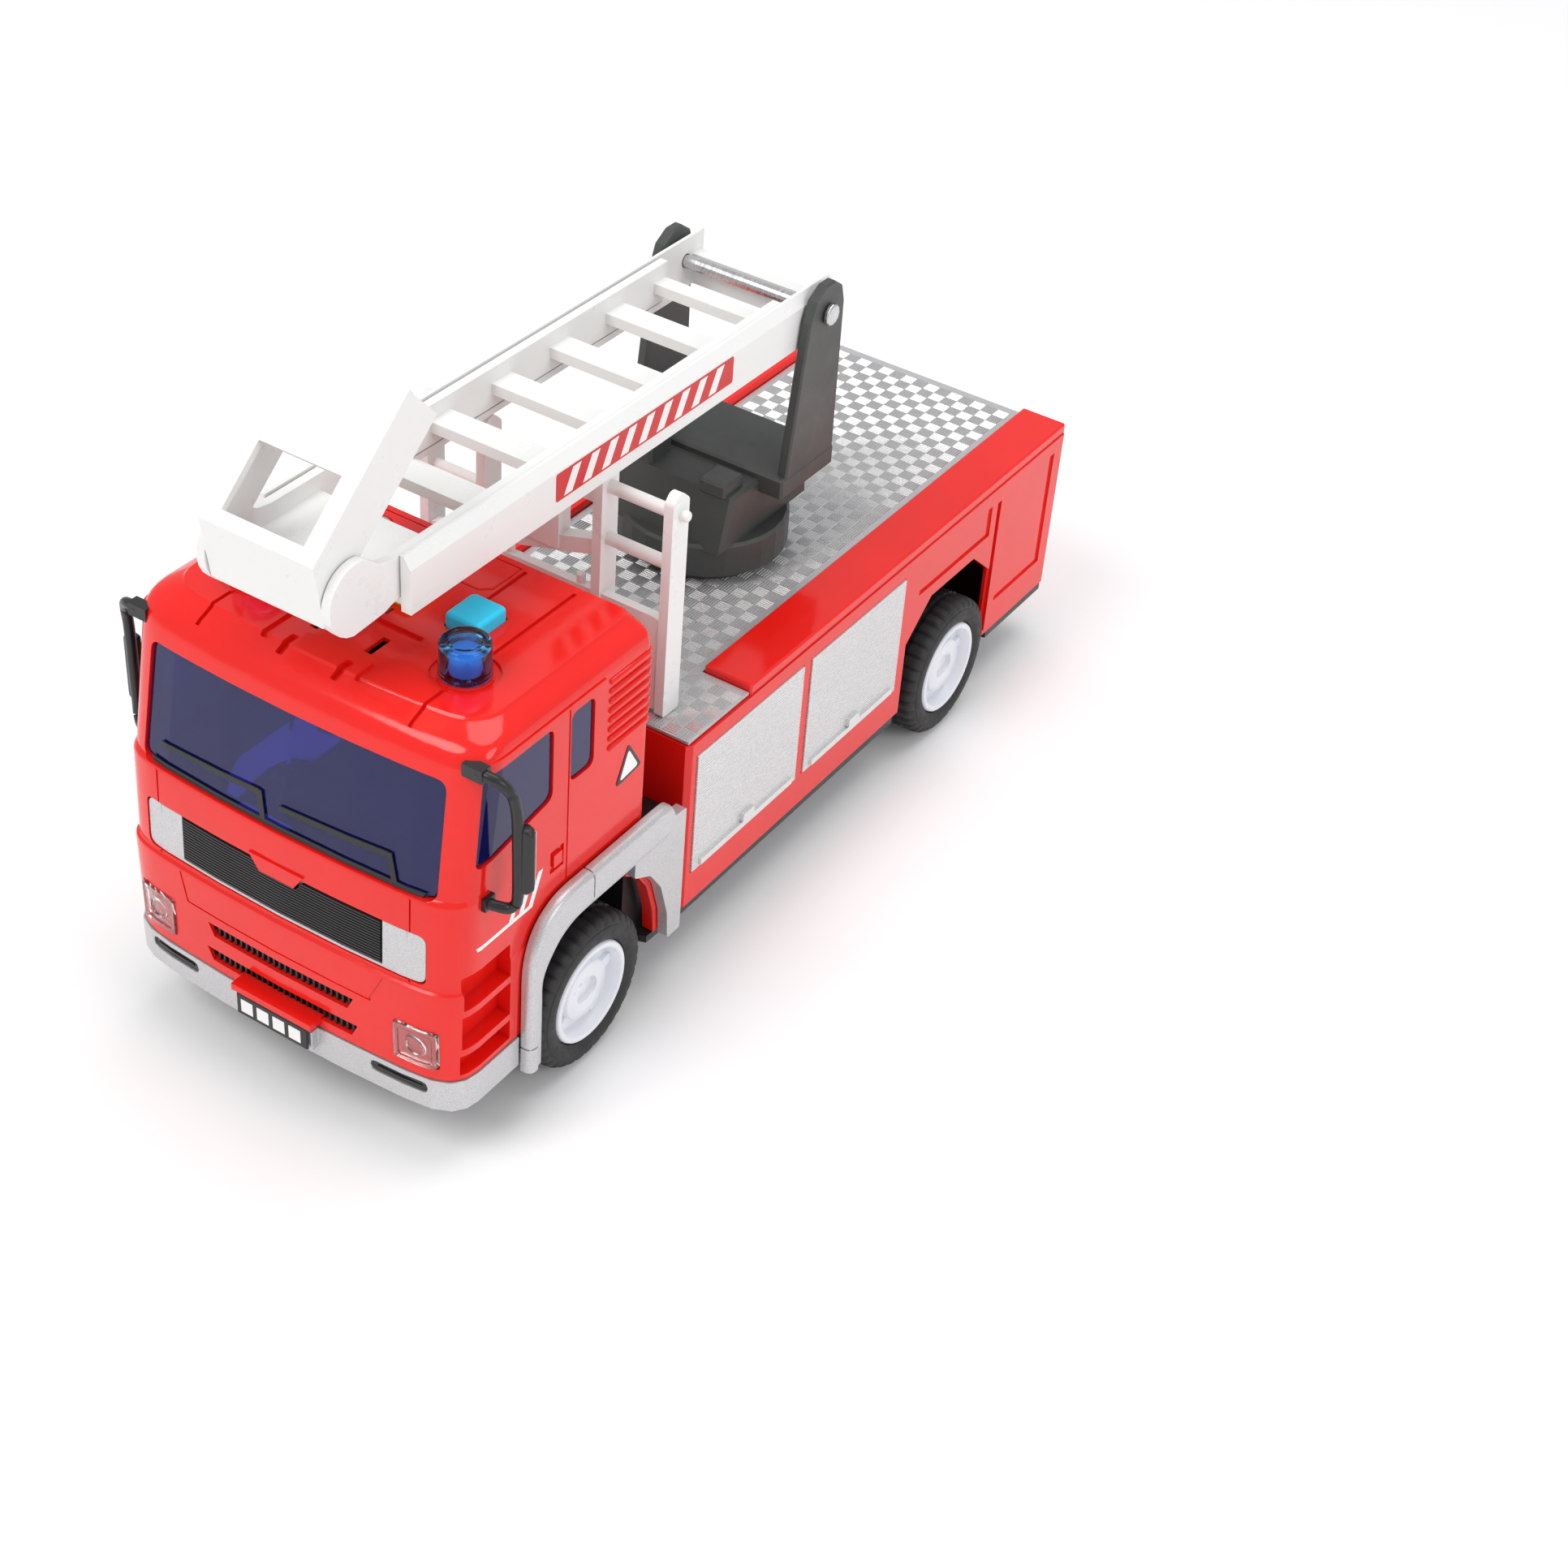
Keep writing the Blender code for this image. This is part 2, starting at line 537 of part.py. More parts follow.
tray = box(-14.4, 9.8, 61.1, 73.5, 106.2, 119.0)
cut(tray, box(-13.0, 8.4, 62.3, 72.7, 107.4, 125))
post = turned("Z", (-23.5, 68.0), [(106.2, 2.9), (119.6, 2.9)], 14)
add(tray, box(-25.0, -13.8, 66.4, 69.6, 106.2, 110.0), post)
cut(tray, turned("Z", (-23.5, 68.0), [(108.0, 1.1), (121.0, 1.1)], 12))
finish(tray, "battery_tray", "black_plastic")
for i in range(3):
    x0 = -12.4 + 6.8 * i
    cell = turned("X", (67.5, 113.0), [(x0, 3.6), (x0 + 0.5, 4.6), (x0 + 0.7, 5.05),
                                       (x0 + 5.4, 5.05)], 14)
    finish(cell, f"button_cell_{i + 1}", "cell_steel")

board = box(-36, 36, 40.5, 59.0, 112.2, 113.4)
arm = box(25.0, 36.0, 27.0, 41.0, 112.2, 113.4)
add(board, arm, mirrored(arm))
for i in (-1, 0, 1):
    x = i * BUTTON_STEP
    add(board, box(x - 2.4, x + 2.4, BUTTON_Y - 2.4, BUTTON_Y + 2.4, 113.0, 114.1))
add(board, turned("Z", (8.5, 54.0), [(113.0, 2.6), (114.6, 2.2)], 12),
    box(-12, -7.5, 42.0, 45.0, 113.0, 114.4))
finish(board, "circuit_board", "board_green")
led = turned("Z", (BEACON_X, BEACON_Y), [(113.7, 1.5), (117.6, 1.5), (117.6, 1.8), (118.3, 1.8),
                                         (118.3, 1.5), (121.6, 1.5), (122.6, 0.8)], 8)
pair(led, "beacon_led", "clear_lens")
speaker = turned("Z", (0, 29.0), [(105.5, 5.5), (109.0, 5.5), (109.0, 9.0), (116.0, 11.0),
                                  (118.4, 11.0), (118.4, 9.6), (115.6, 3.0)], 14)
finish(speaker, "speaker", "black_plastic")

# ---------------------------------------------------------------- silver wheel-arch trims
FENDER = [(27.0, 15.0), (27.0, 51.5), (30.4, 58.6), (37.0, 63.2), (41.5, 64.4), (82.4, 64.4),
          (84.8, 63.0), (85.6, 60.4), (85.6, 57.4), (84.6, 54.9), (46.4, 54.9), (39.6, 52.0),
          (33.0, 45.4), (31.6, 41.4), (31.6, 15.0)]
LIP = [(31.0, 15.0), (31.0, 42.0), (40.0, 54.0), (47.0, 55.4), (84.0, 55.4), (84.0, 52.6),
       (47.2, 52.6), (41.6, 50.6), (34.6, 43.4), (33.2, 40.6), (33.2, 15.0)]
fender = prism("X", FENDER, CAB_HALF + GAP, 54.9, 0.7, "high")
add(fender, prism("X", LIP, CAB_HALF + GAP, 53.6),
    prism("X", [(71.5, 47.0), (71.5, 53.2), (93.2, 53.2), (93.2, 17.0), (87.6, 17.0),
                (86.6, 26.0), (83.2, 37.0), (78.4, 44.0)], 49.6, 52.6))
pair(fender, "wheel_arch_trim", "silver_paint")

# ---------------------------------------------------------------- chassis
half = [(0, 5.0), (40, 5.0), (46.5, 9.0), (46.5, 29.5), (36.0, 31.5), (36.0, 80.0), (48.6, 84.0),
        (49.2, 100.0), (49.6, 205.0), (36.0, 207.5), (36.0, 257.0), (49.6, 260.0), (49.6, 294.5)]
outline = half + [(-x, y) for x, y in reversed(half)][:-1]
chassis = prism("Z", outline, 15.6, 17.8)
# closed bridge between the cab and the body
add(chassis, box(-44, 44, 79.0, 96.6, 17.0, 50.5))
cut(chassis, box(-42, 42, 80.8, 94.8, 10.0, 48.7))
# axle bearings, each a pair of cheeks
for y in (FRONT_AXLE_Y, REAR_AXLE_Y):
    for s in (-1, 1):
        add(chassis, box(*sorted((s * 28.0, s * 34.0)), y - 4.5, y + 4.5, 17.0, 26.5))
        # inner wall of the wheel well
        add(chassis, box(*sorted((s * 34.6, s * 36.0)), y - 24.4, y + 23.6, 17.0, WELL_TOP))
        cut(chassis, turned("X", (y, WHEEL_Z), [(min(s * 27, s * 37), AXLE_R + 0.09),
                                                (max(s * 27, s * 37), AXLE_R + 0.09)], 16))
# rails that stiffen the plate, bosses for the base screws, opening for the motor
for s in (-1, 1):
    add(chassis, box(*sorted((s * 20.0, s * 22.0)), 101.0, 204.0, 17.0, 23.0))
for y in (14.0, 272.0):
    add(chassis, turned("Z", (0, y), [(15.6, 4.5), (27.0, 4.5)], 14))
    cut(chassis, turned("Z", (0, y), [(14.0, 1.6), (30.0, 1.6)], 12),
        turned("Z", (0, y), [(14.0, 3.2), (17.0, 3.2)], 14))
cut(chassis, box(-18.6, 18.6, 205.4, 247.0, 10, 20))
for i in range(4):
    cut(chassis, box(-12, 12, 110 + 14 * i, 114 + 14 * i, 10, 16.4))
finish(chassis, "chassis", "black_plastic")
for label, y in (("front", 14.0), ("rear", 272.0)):
    bolt = turned("Z", (0, y), [(15.7, 2.3), (16.4, 2.9), (16.8, 2.9), (16.8, 1.3), (30.5, 1.3)], 14)
    cut(bolt, box(-2.0, 2.0, y - 0.3, y + 0.3, 15, 16.2), box(-0.3, 0.3, y - 2.0, y + 2.0, 15, 16.2))
    finish(bolt, "base_screw_" + label, "steel")

# ---------------------------------------------------------------- rear body
corner = 1.4
outline = [(-BODY_HALF + corner, BODY_FRONT), (BODY_HALF - corner, BODY_FRONT),
           (BODY_HALF, BODY_FRONT + corner), (BODY_HALF, BODY_REAR - corner),
           (BODY_HALF - corner, BODY_REAR), (-BODY_HALF + corner, BODY_REAR),
           (-BODY_HALF, BODY_REAR - corner), (-BODY_HALF, BODY_FRONT + corner)]
body = prism("Z", outline, BODY_BOTTOM - 1.6, BODY_TOP)
for s in (-1, 1):
    add(body, box(*sorted((s * PLINTH_X, s * 49.6)), PLINTH_Y, BODY_REAR - 0.6, BODY_TOP - 2,
                  PLINTH_Z, 0.5))
cut(body, box(-BODY_HALF + 2.4, BODY_HALF - 2.4, BODY_FRONT + 2, BODY_REAR - 2.4, 10,
              BODY_TOP - 2.2))
REAR_ARCH = [(y + REAR_AXLE_Y - FRONT_AXLE_Y, z) for y, z in
             ((30.6, 5), (30.6, 42), (43.0, 52.5), (67.4, 52.5), (79.8, 42), (79.8, 5))]
cut(body, prism("X", REAR_ARCH, -70, 70),
    turned("Z", (0, TURN_Y), [(60, 8.6), (90, 8.6)], 24))
SHUTTER_Y = ((100.6, 150.6), (154.0, 203.0))
for s in (-1, 1):
    for y0, y1 in SHUTTER_Y:
        cut(body, box(*sorted((s * (BODY_HALF - 1.1), s * 60)), y0, y1, 28.6, 67.0))
    cut(body, box(*sorted((s * (BODY_HALF - 0.6), s * 60)), 212.0, 252.0, 56.5, 66.5),
        box(*sorted((s * (BODY_HALF - 0.6), s * 60)), 261.5, 289.5, 28.6, 67.0),
        box(*sorted((s * 34.0, s * 45.0)), BODY_REAR - 1.4, BODY_REAR + 2, 28.0, 46.0),
        box(*sorted((s * (BODY_HALF - 1.2), s * 60)), 255.4, 257.6, 20.0, 66.0))
cut(body, box(-30, 30, BODY_REAR - 0.8, BODY_REAR + 2, 27.0, 66.0))
boss = [turned("Z", (0, 272.0), [(27.4, 4.4), (BODY_TOP - 1, 4.4)], 14)]
add(body, *boss)
cut(body, turned("Z", (0, 272.0), [(20.0, 1.45), (34.0, 1.45)], 12))
finish(body, "body_shell", "red_gloss")

for s, side in ((-1, "right"), (1, "left")):
    for n, (y0, y1) in enumerate(SHUTTER_Y):
        face = []
        top, slats = 66.7, 13
        pitch = (top - 28.9) / slats
        for i in range(slats):
            z = 28.9 + pitch * i
            face += [(50.0, z), (50.45, z + 0.35 * pitch), (50.45, z + 0.8 * pitch)]
        profile = [(s * x, z) for x, z in [(49.2, 28.9)] + face + [(50.0, top), (49.2, top)]]
        shutter = prism("Y", profile, y0 + GAP, y1 - GAP)
        add(shutter, box(*sorted((s * 50.0, s * 51.1)), y0 + 4, y1 - 4, 30.2, 31.8, 0.25))
        finish(shutter, f"shutter_{('front', 'rear')[n]}_{side}", "silver_paint", smooth=0)
    lamp = box(*sorted((s * 34.3, s * 44.7)), BODY_REAR - 1.1, BODY_REAR + 0.7, 28.3, 45.7, 0.35)
    finish(lamp, "tail_lamp_" + side, "lamp_red")

deck_half = [(BODY_HALF - 0.8, BODY_FRONT + 0.4), (BODY_HALF - 0.8, PLINTH_Y - GAP),
             (PLINTH_X - GAP, PLINTH_Y - GAP), (PLINTH_X - GAP, BODY_REAR - 0.8)]
deck = prism("Z", deck_half + [(-x, y) for x, y in reversed(deck_half)], BODY_TOP + GAP, DECK_Z)
cut(deck, turned("Z", (0, TURN_Y), [(60, 8.6), (90, 8.6)], 24))
finish(deck, "deck_plate", "silver_paint")

# ---------------------------------------------------------------- guard frame
FRAME_Y0, FRAME_Y1 = 101.4, 108.2
POST_TOP = 137.3
base = DECK_Z + GAP
POST = [(FRAME_Y0, base), (FRAME_Y1, base), (FRAME_Y1, POST_TOP - 2.6), (FRAME_Y0 + 4.0, POST_TOP),
        (FRAME_Y0 + 2.0, POST_TOP), (FRAME_Y0, POST_TOP - 2.2)]
frame = prism("X", POST, -38.5, -35.8, 0.5)
bars = [prism("X", POST, x0, x1, 0.5) for x0, x1 in ((35.8, 38.5), (15.2, 17.9), (-20.5, -17.8))]
panel = rounded([(-37.1, base + 0.9), (37.1, base + 0.9), (37.1, 101.5), (-37.1, 101.5)], 4.0)
bars.append(prism("Y", panel, FRAME_Y0 + 0.6, FRAME_Y0 + 3.2))
middle = (FRAME_Y0 + FRAME_Y1) / 2
for z in (116.4, 131.2):
    bars += [rod([(16.6, middle, z), (36.8, middle, z)], 1.75),
             rod([(-36.8, middle, z), (-19.2, middle, z)], 1.75)]
CRADLE = [(-18.2, 109.0), (4.8, 109.0), (4.8, 127.0), (16.2, 127.0), (16.2, 131.4), (-0.6, 131.4),
          (-0.6, 113.4), (-18.2, 113.4)]
bars += [prism("Y", [(16.4, 112.0), (16.4, 116.5), (-19.2, 106.5), (-19.2, 102.0)],
               FRAME_Y0 + 0.9, FRAME_Y1 - 2.0),
         prism("Y", CRADLE, FRAME_Y0 + 0.4, FRAME_Y1 - 1.5, 0.3),
         turned("X", (middle + 0.4, 131.2), [(37.6, 1.5), (40.2, 1.5), (40.8, 0.9)], 8),
         turned("X", (middle + 0.4, 131.2), [(-40.8, 0.9), (-40.2, 1.5), (-37.6, 1.5)], 8),
         turned("Z", (11.0, FRAME_Y0 + 1.9), [(100.0, 1.2), (104.4, 1.2)], 8),
         turned("Z", (-11.0, FRAME_Y0 + 1.9), [(100.0, 1.2), (104.4, 1.2)], 8)]
for bar in bars:
    add(frame, bar)
finish(frame, "guard_frame", "white_plastic")

# ---------------------------------------------------------------- wheels and axles
def tyre_radius(i, k, r):
    """Tread blocks: every third row of the running surface sits lower."""
    return r - 0.55 if r > TYRE_R - 1.0 and (i + 1 + (k % 2)) % 3 == 0 else r


for label, y in (("front", FRONT_AXLE_Y), ("rear", REAR_AXLE_Y)):
    axis_at = (0, y, WHEEL_Z)
    for side, s in (("left", 1), ("right", -1)):
        band = [(TYRE_IN, RIM_R), (TYRE_IN, TYRE_R - 2.2), (TYRE_IN + 1.4, TYRE_R),
                (TYRE_OUT - 2.0, TYRE_R), (TYRE_OUT - 0.4, TYRE_R - 2.2), (TYRE_OUT, RIM_R + 3.2),
                (TYRE_OUT - 0.9, RIM_R)]
        tyre = ring_turned("X", (y, WHEEL_Z), [(s * a, r) for a, r in band], 36, tyre_radius)
        finish(tyre, f"tyre_{label}_{side}", "tyre_rubber", origin=axis_at, smooth=24)
        dish = [(38.6, 1.7), (38.6, 4.6), (43.5, 6.0), (43.5, RIM_R - 1.6), (40.2, RIM_R - GAP),
                (51.6, RIM_R - GAP), (52.5, RIM_R - 0.9), (52.5, RIM_R - 2.6), (48.6, RIM_R - 4.4),
                (47.4, 6.4), (51.2, 3.6), (51.2, 1.7)]
        hub = ring_turned("X", (y, WHEEL_Z), [(s * a, r) for a, r in dish], 20)
        finish(hub, f"hub_{label}_{side}", "hub_white", origin=axis_at)
    axle = turned("X", (y, WHEEL_Z), [(-51.6, 1.1), (-51.0, AXLE_R), (51.0, AXLE_R), (51.6, 1.1)], 16)
    finish(axle, "axle_" + label, "steel", origin=axis_at)


def gear_outline(teeth, module, turn):
    """Straight-sided gear teeth as a closed outline round the origin."""
    pitch_r = module * teeth / 2
    tip, root = pitch_r + 0.85 * module, max(pitch_r - 1.15 * module, 1.2)
    out = []
    for i in range(teeth):
        for share, r in ((-0.30, root), (-0.11, tip), (0.11, tip), (0.30, root)):
            t = 2 * math.pi * (i + share + turn) / teeth
            out.append((r * math.cos(t), r * math.sin(t)))
    return out


FLY_Y = REAR_AXLE_Y - GEAR_CENTRES
drive = prism("X", [(REAR_AXLE_Y + a, WHEEL_Z + b)
                    for a, b in gear_outline(GEAR_TEETH, GEAR_MODULE, 0.5)], -4.0, -1.0)
add(drive, turned("X", (REAR_AXLE_Y, WHEEL_Z), [(-6.0, 3.6), (1.0, 3.6)], 16))
cut(drive, turned("X", (REAR_AXLE_Y, WHEEL_Z), [(-9.0, AXLE_R + 0.15), (9.0, AXLE_R + 0.15)], 16))
finish(drive, "drive_gear", "gear_plastic", origin=(0, REAR_AXLE_Y, WHEEL_Z))
flywheel = turned("X", (FLY_Y, WHEEL_Z), [(-7.4, 1.0), (13.0, 1.0)], 12)
add(flywheel, prism("X", [(FLY_Y + a, WHEEL_Z + b)
                          for a, b in gear_outline(PINION_TEETH, GEAR_MODULE, 0.0)], -4.6, 2.4),
    turned("X", (FLY_Y, WHEEL_Z), [(2.0, 8.6), (2.5, 9.2), (8.5, 9.2), (9.0, 8.6)], 24))
finish(flywheel, "flywheel", "flywheel_zinc", origin=(0, FLY_Y, WHEEL_Z))

housing = box(-16.5, 16.5, 206.6, 245.4, 9.6, 33.4, 1.2)
cut(housing, box(-14.9, 14.9, 208.2, 243.8, 5.0, 31.8))
add(housing, box(-14.0, -9.0, 214.5, 240.0, 18.0, 32.4), box(10.4, 15.4, 214.5, 240.0, 18.0, 32.4))
cut(housing, turned("X", (REAR_AXLE_Y, WHEEL_Z), [(-20, AXLE_R + 0.12), (20, AXLE_R + 0.12)], 16),
    turned("X", (FLY_Y, WHEEL_Z), [(-11, 1.09), (15, 1.09)], 12))
for s in (-1, 1):
    add(housing, box(*sorted((s * 15.5, s * 26.0)), 222.0, 226.5, 18.2, 20.2))
finish(housing, "motor_housing", "black_plastic")

# ---------------------------------------------------------------- turntable
AX = (0, TURN_Y)
turret = turned("Z", AX, [(60.0, 7.9), (62.0, 9.3), (63.6, 9.9), (BODY_TOP - 2.6, 9.9),
                          (BODY_TOP - 2.6, 8.2), (DECK_Z + GAP, 8.2), (DECK_Z + GAP, 19.0),
                          (76.6, 19.0), (76.6, TURN_R), (85.4, TURN_R), (86.2, TURN_R - 0.8)], 26)
block = [(TURN_Y - 19.5, 85.0), (TURN_Y - 15.0, 101.0), (TURN_Y + 21.0, 101.0),
         (TURN_Y + 23.0, 85.0)]
cheek = [(LIFT_Y - 15, 98.0), (LIFT_Y - 8.5, 146.0), (LIFT_Y - 6.2, 151.6), (LIFT_Y - 1.5, 154.4),
         (LIFT_Y + 2.5, 154.4), (LIFT_Y + 6.6, 151.6), (LIFT_Y + 8.0, 147.0), (LIFT_Y + 9.0, 98.0)]
add(turret, prism("X", block, -18.5, 18.5, 1.0), box(-25.6, 25.6, 172.5, 198.2, 97.0, 103.0, 0.6),
    prism("X", cheek, 22.4, 25.4, 0.5), prism("X", cheek, -25.4, -22.4, 0.5))
cut(turret, turned("X", (LIFT_Y, LIFT_Z), [(-30, PIN_R + 0.08), (30, PIN_R + 0.08)], 16),
    turned("Z", AX, [(50, 5.0), (80, 5.0)], 16))
add(turret, box(8.0, 16.5, 158.8, 168.0, 100.0, 104.2, 0.6), box(-16.5, -8.0, 160.0, 170.0, 100, 108, 0.8))
finish(turret, "turntable", "turret_grey", origin=(0, TURN_Y, DECK_Z))

pin = turned("X", (LIFT_Y, LIFT_Z), [(-27.2, 2.6), (-26.9, 3.0), (-25.8, 3.0), (-25.8, PIN_R),
                                     (25.8, PIN_R), (25.8, 3.0), (26.9, 3.0), (27.2, 2.6)], 12)
finish(pin, "lift_pin", "steel", origin=(0, LIFT_Y, LIFT_Z))

# ---------------------------------------------------------------- ladder base section
AT_LIFT = (0, LIFT_Y, LIFT_Z)
RAIL = [(RAIL_IN, LADDER_BOTTOM), (RAIL_OUT, LADDER_BOTTOM), (RAIL_OUT, LADDER_TOP - 3.0),
        (RAIL_OUT - 1.9, LADDER_TOP), (RAIL_IN, LADDER_TOP)]
rail = prism("Y", RAIL, LADDER_FRONT, LADDER_REAR)
lower = mirrored(rail)
ladder = add(rail, lower)
FLOOR_TOP = 140.6
steps = [box(-20.5, 20.5, 65.6 + RUNG_PITCH * i, 73.0 + RUNG_PITCH * i, LADDER_BOTTOM + 0.4, FLOOR_TOP)
         for i in range(5)]
steps.append(box(-20.5, 20.5, 26.6, 46.5, LADDER_BOTTOM + 0.4, FLOOR_TOP))
steps.append(box(-20.5, 20.5, 192.0, 196.0, LADDER_BOTTOM + 0.4, 147.0))
for s in (-1, 1):
    steps.append(box(*sorted((s * 19.4, s * 17.0)), 40.0, 186.0, LADDER_BOTTOM + 0.4, FLOOR_TOP - 0.4))
for step in steps:
    add(ladder, step)
cut(ladder, turned("X", (LIFT_Y, LIFT_Z), [(-30, PIN_R + 0.25), (30, PIN_R + 0.25)], 16))
finish(ladder, "ladder_base", "white_plastic", origin=AT_LIFT)

# ---------------------------------------------------------------- ladder fly section
nose = []
for k in range(13):
    t = math.radians(-100 - 15.5 * k)
    nose.append((TIP_Y + TIP_R * math.cos(t), TIP_Z + TIP_R * math.sin(t)))
side = nose + [(19.5, FLY_TOP + 0.8), (24.0, FLY_TOP), (FLY_REAR, FLY_TOP), (FLY_REAR, FLY_BOTTOM),
               (24.0, FLY_BOTTOM), (20.0, 140.0)]
fly = prism("X", side, FLY_IN, FLY_OUT)
add(fly, mirrored(fly))
rungs = [box(-17.5, 17.5, 55.6 + RUNG_PITCH * i, 63.3 + RUNG_PITCH * i, 144.8, 147.8) for i in range(5)]
rungs += [box(-17.5, 17.5, 19.6, 40.3, 144.6, 147.4), box(-17.5, 17.5, 170.0, FLY_REAR - 1.0, 144.8, 147.8)]
for rung in rungs:
    add(fly, rung)
cut(fly, turned("X", (TIP_Y, TIP_Z), [(-17.9, 1.62), (17.9, 1.62)], 16))
finish(fly, "ladder_fly", "white_plastic", origin=(0, SLIDE_Y, 146.0))

tip_pin = turned("X", (TIP_Y, TIP_Z), [(-17.6, 1.2), (-17.3, 1.5), (17.3, 1.5), (17.6, 1.2)], 12)
finish(tip_pin, "cage_pin", "steel", origin=(0, TIP_Y, TIP_Z))

# ---------------------------------------------------------------- rescue cage
SKIN = [(4.6, 142.6), (3.9, 143.4), (1.0, 160.0), (33.0, 188.5), (34.4, 187.0), (2.9, 159.2),
        (5.8, 143.6)]
cage = prism("X", SKIN, -CAGE_OUT, CAGE_OUT)
SIDE = [(5.0, 142.8), (1.6, 159.6), (33.2, 187.8), (42.0, 178.6), (16.0, 155.6), (15.6, 143.4),
        (12.0, 141.6)]
wall = prism("X", SIDE, CAGE_IN, CAGE_OUT)
other = mirrored(wall)
add(cage, wall)
add(cage, other)
add(cage, prism("X", [(4.2, 142.8), (12.6, 142.0), (12.6, 143.6), (5.0, 144.6)], -15.2, 15.2))
slant = Vector((0.747, 0.665))
out = Vector((-slant.y, slant.x))
foot = Vector((1.0, 160.0))
window = []
for along, off in ((3.5, -6), (20.3, -6), (20.3, 6), (3.5, 6)):
    p = foot + slant * along + out * off
    window.append((p.x, p.y))
cut(cage, prism("X", window, -11.4, 11.4))
cut(cage, turned("X", (TIP_Y, TIP_Z), [(-30, 1.62), (30, 1.62)], 16))
finish(cage, "rescue_cage", "white_plastic", origin=(0, TIP_Y, TIP_Z))
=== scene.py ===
"""Looks of a toy fire engine: moulded plastic shells, clear lenses, rubber tyres, deck plate.

New pieces are drawn in millimetres in the engine's own drawing frame, where Y = 0 is the
cab's front plane, and become metres in the row frame when they are finished.
"""
import json
import math

import bmesh
import bpy
from mathutils import Matrix, Vector


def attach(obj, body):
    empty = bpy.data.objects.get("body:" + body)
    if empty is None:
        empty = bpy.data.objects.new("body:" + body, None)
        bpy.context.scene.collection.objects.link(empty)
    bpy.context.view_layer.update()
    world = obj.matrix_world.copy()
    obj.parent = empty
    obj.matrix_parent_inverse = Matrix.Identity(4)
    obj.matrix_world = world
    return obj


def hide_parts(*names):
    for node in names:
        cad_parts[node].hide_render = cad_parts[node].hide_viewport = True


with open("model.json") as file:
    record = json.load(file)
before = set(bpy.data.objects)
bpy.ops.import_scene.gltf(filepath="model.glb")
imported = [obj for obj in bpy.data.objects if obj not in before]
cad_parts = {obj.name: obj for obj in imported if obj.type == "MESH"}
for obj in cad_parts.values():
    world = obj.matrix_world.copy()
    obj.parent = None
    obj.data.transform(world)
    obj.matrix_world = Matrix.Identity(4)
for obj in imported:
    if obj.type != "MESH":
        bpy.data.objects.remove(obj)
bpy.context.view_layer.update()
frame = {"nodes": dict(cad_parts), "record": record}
NODES = frame["nodes"]
SCENE = bpy.context.scene

MM = 0.001
# from the cab's front plane back to the row frame's origin
MIDDLE_Y = 146.7
SIDES = (1, "left"), (-1, "right")

# heights
AXLE_Z = 21.4
ROOF_Z = 122.0
BUTTON_TOP = 125.6
BEACON_TOP = 131.0
DECK_TOP = 72.6
# places along the engine, from the cab's front plane
AXLES_Y = ("front", 55.2), ("rear", 232.0)
BUTTON_Y, BUTTON_STEP = 50.0, 20.0
BEACON_X, BEACON_Y, BEACON_R = 30.5, 33.0, 6.2
TURNTABLE_Y = 175.0


# ================================================================ camera, light and floor
def make_camera():
    """Camera high over the engine's front left corner, slightly rolled."""
    azimuth, elevation, roll = (math.radians(angle) for angle in (29.7539, 38.0074, 5.2425))
    place = Vector((0.32638, -0.48479, 0.46557))
    data = bpy.data.cameras.new("camera")
    data.lens, data.sensor_width, data.sensor_fit = 60.0723, 36.0, "HORIZONTAL"
    data.clip_start, data.clip_end = 0.02, 20
    camera = bpy.data.objects.new("camera", data)
    camera.matrix_world = (Matrix.Translation(place) @ Matrix.Rotation(azimuth, 4, "Z")
                           @ Matrix.Rotation(math.pi / 2 - elevation, 4, "X")
                           @ Matrix.Rotation(roll, 4, "Z"))
    SCENE.collection.objects.link(camera)
    SCENE.camera = camera


def area_light(name, place, target, size, power, colour=(1, 1, 1)):
    data = bpy.data.lights.new(name, "AREA")
    data.shape, data.size, data.energy, data.color = "DISK", size, power, colour
    lamp = bpy.data.objects.new(name, data)
    lamp.location = place
    lamp.rotation_euler = (Vector(target) - Vector(place)).to_track_quat("-Z", "Y").to_euler()
    SCENE.collection.objects.link(lamp)


def make_stage():
    """Pale floor without a visible horizon, and soft light from all round."""
    mesh = bpy.data.meshes.new("floor")
    mesh.from_pydata([(-3, -3, 0), (3, -3, 0), (3, 3, 0), (-3, 3, 0)], [], [(0, 1, 2, 3)])
    floor = bpy.data.objects.new("floor", mesh)
    SCENE.collection.objects.link(floor)
    paint = bpy.data.materials.new("floor_paint")
    paint.use_nodes = True
    shader = paint.node_tree.nodes["Principled BSDF"]
    shader.inputs["Base Color"].default_value = (0.97, 0.97, 0.97, 1)
    shader.inputs["Roughness"].default_value = 0.9
    mesh.materials.append(paint)
    world = bpy.data.worlds.new("studio")
    world.use_nodes = True
    background = world.node_tree.nodes["Background"]
    background.inputs["Color"].default_value = (0.97, 0.98, 1.0, 1)
    background.inputs["Strength"].default_value = 0.62
    SCENE.world = world
    SCENE.view_settings.view_transform = "Standard"
    area_light("key", (-0.35, -1.05, 1.35), (0, -0.1, 0.06), 0.9, 11.0, (1.0, 0.985, 0.96))
    area_light("side", (1.5, -0.1, 0.9), (0, -0.02, 0.07), 0.9, 6.0)
    area_light("top", (0.1, 0.35, 1.6), (0, 0, 0.1), 1.1, 8.0)


# ================================================================ materials
MATERIALS = {}


